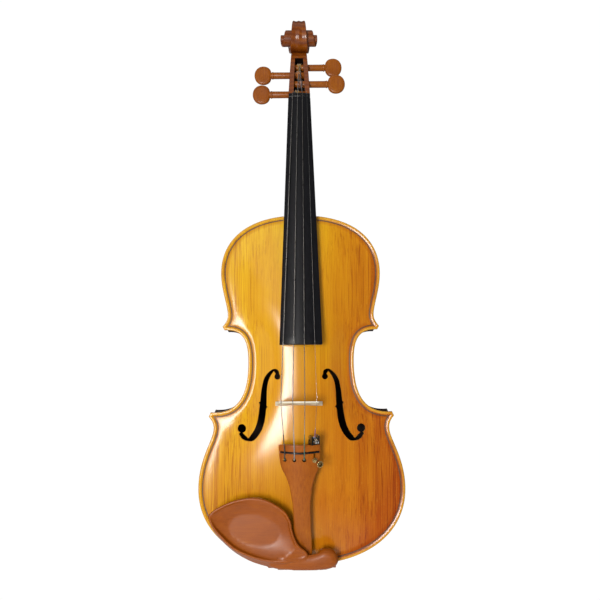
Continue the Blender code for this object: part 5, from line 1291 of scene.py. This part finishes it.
ends = [[tuple(np.array(u) + (np.array(u) - np.array(v)) * 2.5) for u, v in zip(slot_sec[a], slot_sec[b])] for a, b in ((0, 1), (-1, -2))]
tools.append(loft("fret_slot", [ends[0]] + slot_sec + [ends[1]], "boxwood_tail", smooth=None))

tilt = math.asin((TUNER_X - tail_axis(TUNER_Z)) / TAIL_R)
t0 = tail_surface(TUNER_X, TUNER_Z)
TN = Vector((math.sin(tilt), -math.cos(tilt) * math.cos(0.181), -math.sin(0.181) * math.cos(tilt))).normalized()
TU = Vector((0, -math.sin(0.181), math.cos(0.181)))
TU = (TU - TN * TU.dot(TN)).normalized()
TS = TU.cross(TN).normalized()
TP = W(TUNER_X, TUNER_Z, t0)


def T(s, u, n):
    return TP + (TS * s + TU * u + TN * n) * MM


def t_prism(name, outline, half, mat, bev=0.0):
    o = loft(name, [[T(q, u, n) for u, n in outline] for q in (-half, half)], mat, smooth=None, world=True)
    return soften(o, bev, 2, 40, 40) if bev else o


def t_block(name, s, u, n, mat, bev=0.0):
    o = loft(name, [[T(s[0], u[0], q), T(s[1], u[0], q), T(s[1], u[1], q), T(s[0], u[1], q)] for q in n], mat, smooth=None, world=True)
    return soften(o, bev, 2, 40, 40) if bev else o


for o in [rod("tuner_clear", 2.25, T(0, 0, -14), T(0, 0, 6), "boxwood_tail", 40)] + tools:
    cut(tail, [o], smooth=40.0)
take(tail, "body", ["tailpiece"])
take(loft("fret_bar", fret_sec, "ebony", smooth=50.0), "body", ["tailpiece_fret"])

# ------------------------------------------------------------------ fine tuner
fr = t_block("tuner_frame_body", (-2.9, 2.9), (-3.5, 16.4), (-8.1, -6.8), "black_metal")
cut(fr, [rod("sleeve", 1.9, T(0, 0, -7.2), T(0, 0, 1.2), "black_metal", 40),
         t_block("end_wall", (-3.2, 3.2), (15.3, 16.7), (-7.7, 1.6), "black_metal"),
         t_block("ear_l", (-4.15, -2.9), (15.45, 24.2), (-2.5, 3.2), "black_metal"),
         t_block("ear_r", (2.9, 4.15), (15.45, 24.2), (-2.5, 3.2), "black_metal")], "UNION")
cut(fr, [rod("bore", 1.5, T(0, 0, -10), T(0, 0, 8), "black_metal", 32), rod("axle_hole", 0.95, T(-7, PIVOT_U, 0), T(7, PIVOT_U, 0), "black_metal", 24)])
soften(fr, 0.28, 3, 40, 40)
take(fr, "body", ["tuner_frame"])
take(turned("tuner_collar", [(1.55, 0.5), (1.95, 0.5), (2.45, 0.55), (2.5, 0.8), (2.5, 1.4), (2.3, 1.68), (1.7, 1.7), (1.55, 1.6), (1.55, 0.5)], T(0, 0, 0), TN, "brass", 40), "body", ())

lev = t_prism("tuner_lever_body", cornered([(17.8, -1.8), (22.8, -1.8), (23.0, 0.6), (21.5, 2.0), (20.9, 2.5), (20.7, 5.4), (19.7, 6.6), (17.9, 6.2), (17.8, 5.3), (19.2, 5.2), (19.3, 2.3), (17.8, 1.2)],
                                           [0, 1, 2, 7, 8, 11], 3), 1.7, "hook")
cut(lev, [rod("axle", 0.62, T(-4.0, PIVOT_U, 0), T(4.0, PIVOT_U, 0), "hook", 24),
          t_prism("arm", [(18.0, -1.0), (20.9, -1.2), (20.2, -12.0), (-2.0, -12.0), (-2.0, -10.6), (17.5, -10.6)], 1.5, "hook")], "UNION")
cut(lev, [loft("hook_slot", [[T(q, u, n) for u, n in ((17.0, 2.6), (23.5, 2.6), (23.5, 8.0), (17.0, 8.0))] for q in (-0.45, 0.45)], "hook", smooth=None, world=True)])
soften(lev, 0.2, 2, 40, 40)
take(lev, "tuner_lever", ["tuner_lever"])

prof = [(0, -10.3), (0.8, -10.2)]
q = -9.6
while q < 6.6:                          # fine thread, 0.5 mm pitch
    prof += [(0.98, q), (1.15, q + 0.25)]
    q += 0.5
prof += [(1.0, 6.9), (1.15, 7.2), (1.15, 8.4), (0, 8.4)]
take(turned("tuner_screw_thread", prof, T(0, 0, 0), TN, "brass", 32, smooth=60.0), "tuner_screw", ["tuner_screw"])


def knurl(r, t, a, j):
    return r * (1 - 0.045 * max(0.0, math.cos(a * 26))) if 2.95 <= r and 9.4 < t < 13.3 else r


kp = [(0, 10.95), (1.0, 11.0), (1.9, 11.2), (2.2, 12.6), (2.35, 13.2), (2.5, 13.38), (2.9, 13.4), (3.1, 13.25), (3.2, 12.9), (3.2, 11.8), (3.2, 10.6), (3.15, 10.1), (2.9, 9.5), (2.3, 8.2), (1.95, 7.4), (1.85, 7.1), (1.55, 7.0), (1.5, 8.8), (0, 8.8)]
# the cup's hollow top takes the darkened brass: painted shade
kn = turned("tuner_knob_cup", kp, T(0, 0, 0), TN, ("brass", "brass_dark"), 156, smooth=40.0, idx=[1, 1, 1, 0, 0, 0, 0, 0, 0, 0, 0, 0, 0, 0, 0, 0, 0, 0, 0], fn=knurl)
take(kn, "tuner_knob", ["tuner_knob"])
dot = turned("tuner_knob_slot", [(0, 11.5), (0.85, 11.45), (1.0, 11.3), (1.0, 11.0), (0, 10.95)], T(0, 0, 0), TN, "brass", 32)
# the slot's faces take the darkened brass: painted shade
cut(dot, [t_block("slot", (-0.16, 0.16), (-1.5, 1.5), (11.25, 12.0), "brass_dark")], smooth=40)
take(dot, "tuner_knob", ())

# ------------------------------------------------------------------ chin rest
RIM_D = [(-90, 52), (-86.5, 43), (-78, 33), (-66, 22.5), (-52, 15.7), (-38, 11.6), (-25, 9.8), (-14, 9.6), (-5, 10.8), (2.0, 12.4), (5.4, 16.0), (3.0, 20.4),
         (-2.6, 25.0), (-6.4, 31), (-9.5, 40), (-11, 48), (-15.5, 56), (-23, 62), (-33.5, 67.5), (-46, 70), (-59, 69), (-70, 66), (-81, 61), (-88, 56)]
BASE_D = [(-89, 51), (-88, 41), (-81.5, 31), (-68, 18.6), (-57, 11.6), (-46, 6.6), (-29.5, 2.2), (-17, 1.2), (-7, 2.5), (-1, 6), (1.8, 12), (-1.5, 18),
          (-5.5, 22.5), (-9, 29), (-12, 39), (-13.5, 47), (-18, 54), (-25, 59.5), (-35, 64.5), (-46, 66.5), (-58, 65.5), (-69, 62.5), (-79, 57.5), (-86, 54)]
ARM = [(-34, 9), (-29.5, 3.2), (-15.5, 0.8), (4, 0.0), (22, 1.0), (31.4, 3.9), (34.8, 9.6), (32, 16.8), (27, 20), (20.5, 20.5), (15, 18.5), (9, 17), (0, 17.4), (-6, 20.0), (-16, 19), (-28, 16)]
RIM_H, BASE_H, DISH = 24.0, 12.0, 6.0


def ease(t):
    t = np.clip(t, 0, 1)
    return t * t * (3 - 2 * t)


def shrink(loop, d):
    P = np.array(loop)
    t = np.roll(P, -1, 0) - np.roll(P, 1, 0)
    t /= np.linalg.norm(t, axis=1)[:, None]
    a = np.sum(P[:, 0] * np.roll(P[:, 1], -1) - np.roll(P[:, 0], -1) * P[:, 1])
    return P + np.stack([-t[:, 1], t[:, 0]], axis=1) * (1 if a > 0 else -1) * d


def rim_h(x, z):
    return RIM_H - 2.4 * ease((x + 20.0) / 20.0) * ease((26.0 - z) / 12.0)


def dish_low(x, z):
    u, v = (x + 46.0) / 43.0, (z - 39.0 + (x + 46) * 0.14) / 27.0
    s = np.maximum(0.0, 1 - (u * u + v * v))
    return rim_h(x, z) - 0.75 - DISH * np.minimum(1.0, s * 1.5) ** 0.85


def shell(name, loops_h, top, bottom, step):
    pts, faces, loops = [], [], []
    for loop, hh in loops_h:
        P = np.array(loop)
        loops.append(list(range(len(pts), len(pts) + len(P))))
        hv = hh(P[:, 0], P[:, 1]) if callable(hh) else np.full(len(P), hh)
        pts += [(x, z, float(q)) for (x, z), q in zip(P, hv)]
    n = len(loops[0])
    for a, b in zip(loops, loops[1:]):
        faces += [[a[i], a[(i + 1) % n], b[(i + 1) % n], b[i]] for i in range(n)]
    faces += cap(loops[-1], pts, top, step)
    faces += cap(loops[0], pts, bottom, 12.0)
    return mesh(name, pts, faces, "boxwood_rest", smooth=60.0)


rim, base = np.array(closed_path(RIM_D, 6)), np.array(closed_path(BASE_D, 6))
lh = [(shrink(base, 0.9), BASE_H), (shrink(base, 0.2), BASE_H + 0.2), (base, BASE_H + 0.9)]
for t in (0.2, 0.4, 0.6, 0.8):
    # the wall swells a little on its way up to the rim
    mid = base * (1 - t) + rim * t
    lh.append((shrink(mid, -0.9 * math.sin(math.pi * t) * 0.6), (lambda t: lambda x, z: BASE_H + 0.9 + (rim_h(x, z) - 2.2 - BASE_H - 0.9) * t ** 1.15)(t)))
lh += [(rim, lambda x, z: rim_h(x, z) - 1.5), (shrink(rim, 0.25), lambda x, z: rim_h(x, z) - 0.6), (shrink(rim, 0.8), lambda x, z: rim_h(x, z) - 0.08),
       (shrink(rim, 1.4), lambda x, z: rim_h(x, z)), (shrink(rim, 2.1), lambda x, z: rim_h(x, z) - 0.2), (shrink(rim, 2.7), dish_low)]
chin = shell("chin_rest_body", lh, dish_low, lambda x, z: np.full(len(x), BASE_H), 3.0)
arm = np.array(closed_path(ARM, 6))
lh = [(shrink(arm, 0.9), BASE_H), (shrink(arm, 0.2), BASE_H + 0.25), (arm, BASE_H + 1.2), (shrink(arm, 0.1), 15.0), (shrink(arm, 0.7), 17.2), (shrink(arm, 1.8), 18.9), (shrink(arm, 3.4), 20.1), (shrink(arm, 5.4), 20.8)]
bar = shell("bar", lh, lambda x, z: np.full(len(x), 21.0), lambda x, z: np.full(len(x), BASE_H), 4.0)
legs = [bar, block("leg_l", (-33, -17.6), (1.9, 10.5), (2.9, 13.2), "boxwood_rest"), block("leg_r", (17.6, 32.6), (2.0, 10.5), (2.9, 13.2), "boxwood_rest")]
LIP = [(-0.4, -3.0), (-3.9, -3.0), (-3.9, 0.3), (-2.2, 6.0), (0.3, 12.3), (3.0, 12.9), (1.2, 3.3), (-0.4, 0.7)]
for x0, x1 in ((-24.1, -17.7), (17.7, 24.1)):
    legs.append(loft("lip", [[(x, z, h) for z, h in LIP] for x in (x0, x1)], "boxwood_rest", smooth=None))
cut(chin, legs, "UNION")
cut(chin, [block("channel", (-14.37, 16.31), (-9, 33.1), (0, 17.4), "boxwood_rest")])
r = chin.modifiers.new("skin", "REMESH")
r.mode, r.voxel_size, r.use_smooth_shade = "VOXEL", 0.00075, True
sm = chin.modifiers.new("sand", "SMOOTH")
sm.factor, sm.iterations = 0.5, 5
applied(chin)
chin.data.shade_smooth()
for s in (-1, 1):
    cut(chin, [rod("post_hole", 1.65, W(s * CLAMP_X, CLAMP_Z, -6), W(s * CLAMP_X, CLAMP_Z, -0.4), "boxwood_rest", 32)], smooth=60)
chin.data.materials.clear()
chin.data.materials.append(M["boxwood_rest"])
take(chin, "body", ["chin_rest"])
for word, (x0, x1, z0) in (("left", (-33, -17.6, 1.6)), ("right", (17.6, 32.6, 1.9))):
    take(block("cork_pad_" + word, (x0, x1), (z0, 10.5), (0.35, 2.6), "cork", 0.3), "body", ["chin_rest_cork_" + word])

up = block("clamp_upper", (-22.5, 22.5), (-4.2, -2.9), (-5.0, -3.4), "steel", 0.3)


def threaded(name, x, h0, h1):
    prof, q = [(0, 0), (1.05, 0)], 0.3
    L = abs(h1 - h0)
    while q < L - 0.6:
        prof += [(1.08, q), (1.3, q + 0.3)]
        q += 0.6
    return turned(name, prof + [(1.1, L), (0, L)], W(x, CLAMP_Z, h0), (0, 1, 0) if h1 < h0 else (0, -1, 0), "steel", 28, smooth=60.0)


take(up, "body", ["clamp_bracket_upper"])
for s, word in ((-1, "left"), (1, "right")):
    take(threaded("upper_post_" + word, s * CLAMP_X, -0.75, -13.0), "body", ())
    b = turned("barrel_" + word, [(1.65, 13.0), (2.05, 13.0), (2.3, 12.7), (2.3, 1.6), (2.2, 1.3), (2.2, -1.3), (2.3, -1.6), (2.3, -12.7), (2.05, -13.0), (1.65, -13.0), (1.65, 13.0)],
               W(s * CLAMP_X, CLAMP_Z, -19.0), (0, 1, 0), "steel", 40)
    cut(b, [rod("pin_hole", 0.75, W(s * CLAMP_X - 4, CLAMP_Z, -19 + dh), W(s * CLAMP_X + 4, CLAMP_Z, -19 + dh), "steel", 24) for dh in (-5.0, 5.0)], smooth=35)
    take(b, "clamp_barrel_" + word, ["clamp_barrel_" + word])
    take(threaded("lower_post_" + word, s * CLAMP_X, -42.0, -25.0), "clamp_bracket_lower", ())
lowb = block("clamp_lower", (-25, 25), (-4.8, 8.5), (-43.2, -41.6), "steel", 0.4)
take(lowb, "clamp_bracket_lower", ["clamp_bracket_lower"])
take(block("foot_cork", (-24.9, 24.9), (1.9, 8.5), (-41.7, -39.45), "cork", 0.3), "clamp_bracket_lower", ())

# ------------------------------------------------------------------ the CAD pieces that keep their own mesh
PLAIN = {"neck_block": "inner_wood", "end_block": "inner_wood", "bass_bar": "spruce_cut", "sound_post": "spruce_cut", "tail_gut": "nylon", "saddle": "ebony",
         "end_pin": "boxwood_tail", "chin_rest_cork": "cork", "bridge": "bridge_maple", "tailpiece": "boxwood_tail", "tailpiece_fret": "ebony",
         "chin_rest": "boxwood_rest", "tuner_frame": "black_metal", "tuner_lever": "hook", "tuner_screw": "steel", "tuner_knob": "brass",
         "clamp_bracket_upper": "steel", "clamp_bracket_lower": "steel", "clamp_barrel_left": "steel", "clamp_barrel_right": "steel"}
for node in NODES:
    name = node["name"] if isinstance(node, dict) else node
    if name in DONE:
        continue
    ob = bpy.data.objects.get(name)
    if ob is None or ob.type != "MESH":
        continue
    key = PLAIN.get(name, "inner_wood")
    for s in ob.material_slots:
        s.material = M[key]

# ------------------------------------------------------------------ set, lights and camera


def stage_mat(name, c, rough):
    m = Mat(name)
    n = m.noise(m.at(), 0.004, 2.0)
    return m.set(color=m.mix(m.range(n, 0.3, 0.7, 0.0, 0.02), c, tuple(v * 0.99 for v in c)), rough=rough)


def sheet(name, verts, faces, mat):
    me = bpy.data.meshes.new(name)
    me.from_pydata(verts, [], faces)
    me.update()
    me.shade_smooth()
    o = bpy.data.objects.new(name, me)
    me.materials.append(mat)
    bpy.context.scene.collection.objects.link(o)
    return o


floor_z = -1.15
disc = [(1.35 * math.cos(a), 1.35 * math.sin(a), floor_z) for a in np.linspace(0, 2 * math.pi, 96, endpoint=False)]
sheet("floor", disc, [list(range(96))], stage_mat("floor_pale", (0.92, 0.92, 0.92), 0.85))


def area(name, at, to, size, power, color=(1, 1, 1), size_y=None):
    l = bpy.data.lights.new(name, "AREA")
    l.energy = power
    l.color = color
    l.shape = "RECTANGLE"
    l.size = size
    l.size_y = size_y or size
    o = bpy.data.objects.new(name, l)
    o.location = at
    o.rotation_euler = (Vector(to) - Vector(at)).to_track_quat("-Z", "Y").to_euler()
    bpy.context.scene.collection.objects.link(o)
    o.visible_camera = False
    return o


MID = (0.0, -0.04, -0.33)
area("key", (-0.30, -1.15, -0.42), (-0.03, 0, -0.38), 0.26, 12.6, (1.0, 0.985, 0.96), 0.42)
area("key_high", (-0.35, -1.7, 0.5), MID, 0.8, 2.5, (1.0, 0.985, 0.96), 0.8)
area("left_box", (-1.25, -1.0, -0.25), MID, 0.55, 1.6, (1.0, 0.99, 0.97), 1.2)
area("right_fill", (1.7, -1.0, -0.2), MID, 1.1, 0.7, (0.97, 0.985, 1.0), 1.5)
area("top_fill", (0.1, -0.5, 1.5), MID, 1.2, 2.5)
area("back_fill", (-0.8, 1.7, 0.1), MID, 1.1, 7.0)

w = bpy.context.scene.world or bpy.data.worlds.new("world")
bpy.context.scene.world = w
w.use_nodes = True
nt = w.node_tree
bg = nt.nodes["Background"]
bg.inputs[0].default_value = (1, 1, 1, 1)
rays = nt.nodes.new("ShaderNodeLightPath")
strength = nt.nodes.new("ShaderNodeMath")
strength.operation = "MULTIPLY_ADD"
soft = nt.nodes.new("ShaderNodeMath")
soft.operation = "MULTIPLY_ADD"
nt.links.new(rays.outputs["Is Diffuse Ray"], soft.inputs[0])
soft.inputs[1].default_value, soft.inputs[2].default_value = 0.32, 0.12     # fill light; the rest is what gloss sees
nt.links.new(rays.outputs["Is Camera Ray"], strength.inputs[0])
strength.inputs[1].default_value = 0.90         # the white ground behind
nt.links.new(soft.outputs[0], strength.inputs[2])
bpy.context.scene.view_settings.view_transform = "Standard"     # plain sRGB, as a product picture is shown
nt.links.new(strength.outputs[0], bg.inputs[1])

cam = bpy.data.cameras.new("camera")
cam.lens = 34.68
cam.sensor_width = 36.0
cam.sensor_fit = "HORIZONTAL"
cam.clip_start, cam.clip_end = 0.02, 60.0
co = bpy.data.objects.new("camera", cam)
el, roll = math.radians(6.34), math.radians(0.37)
fwd = Vector((0, math.cos(el), math.sin(el)))
upv = Vector((0, -math.sin(el), math.cos(el)))
rgt = Vector((1, 0, 0))
up2 = upv * math.cos(roll) + rgt * math.sin(roll)
rg2 = rgt * math.cos(roll) - upv * math.sin(roll)
co.matrix_world = Matrix.Translation(Vector((-0.00065, -0.6344, -0.3535))) @ Matrix((rg2, up2, -fwd)).transposed().to_4x4()
bpy.context.scene.collection.objects.link(co)
bpy.context.scene.camera = co
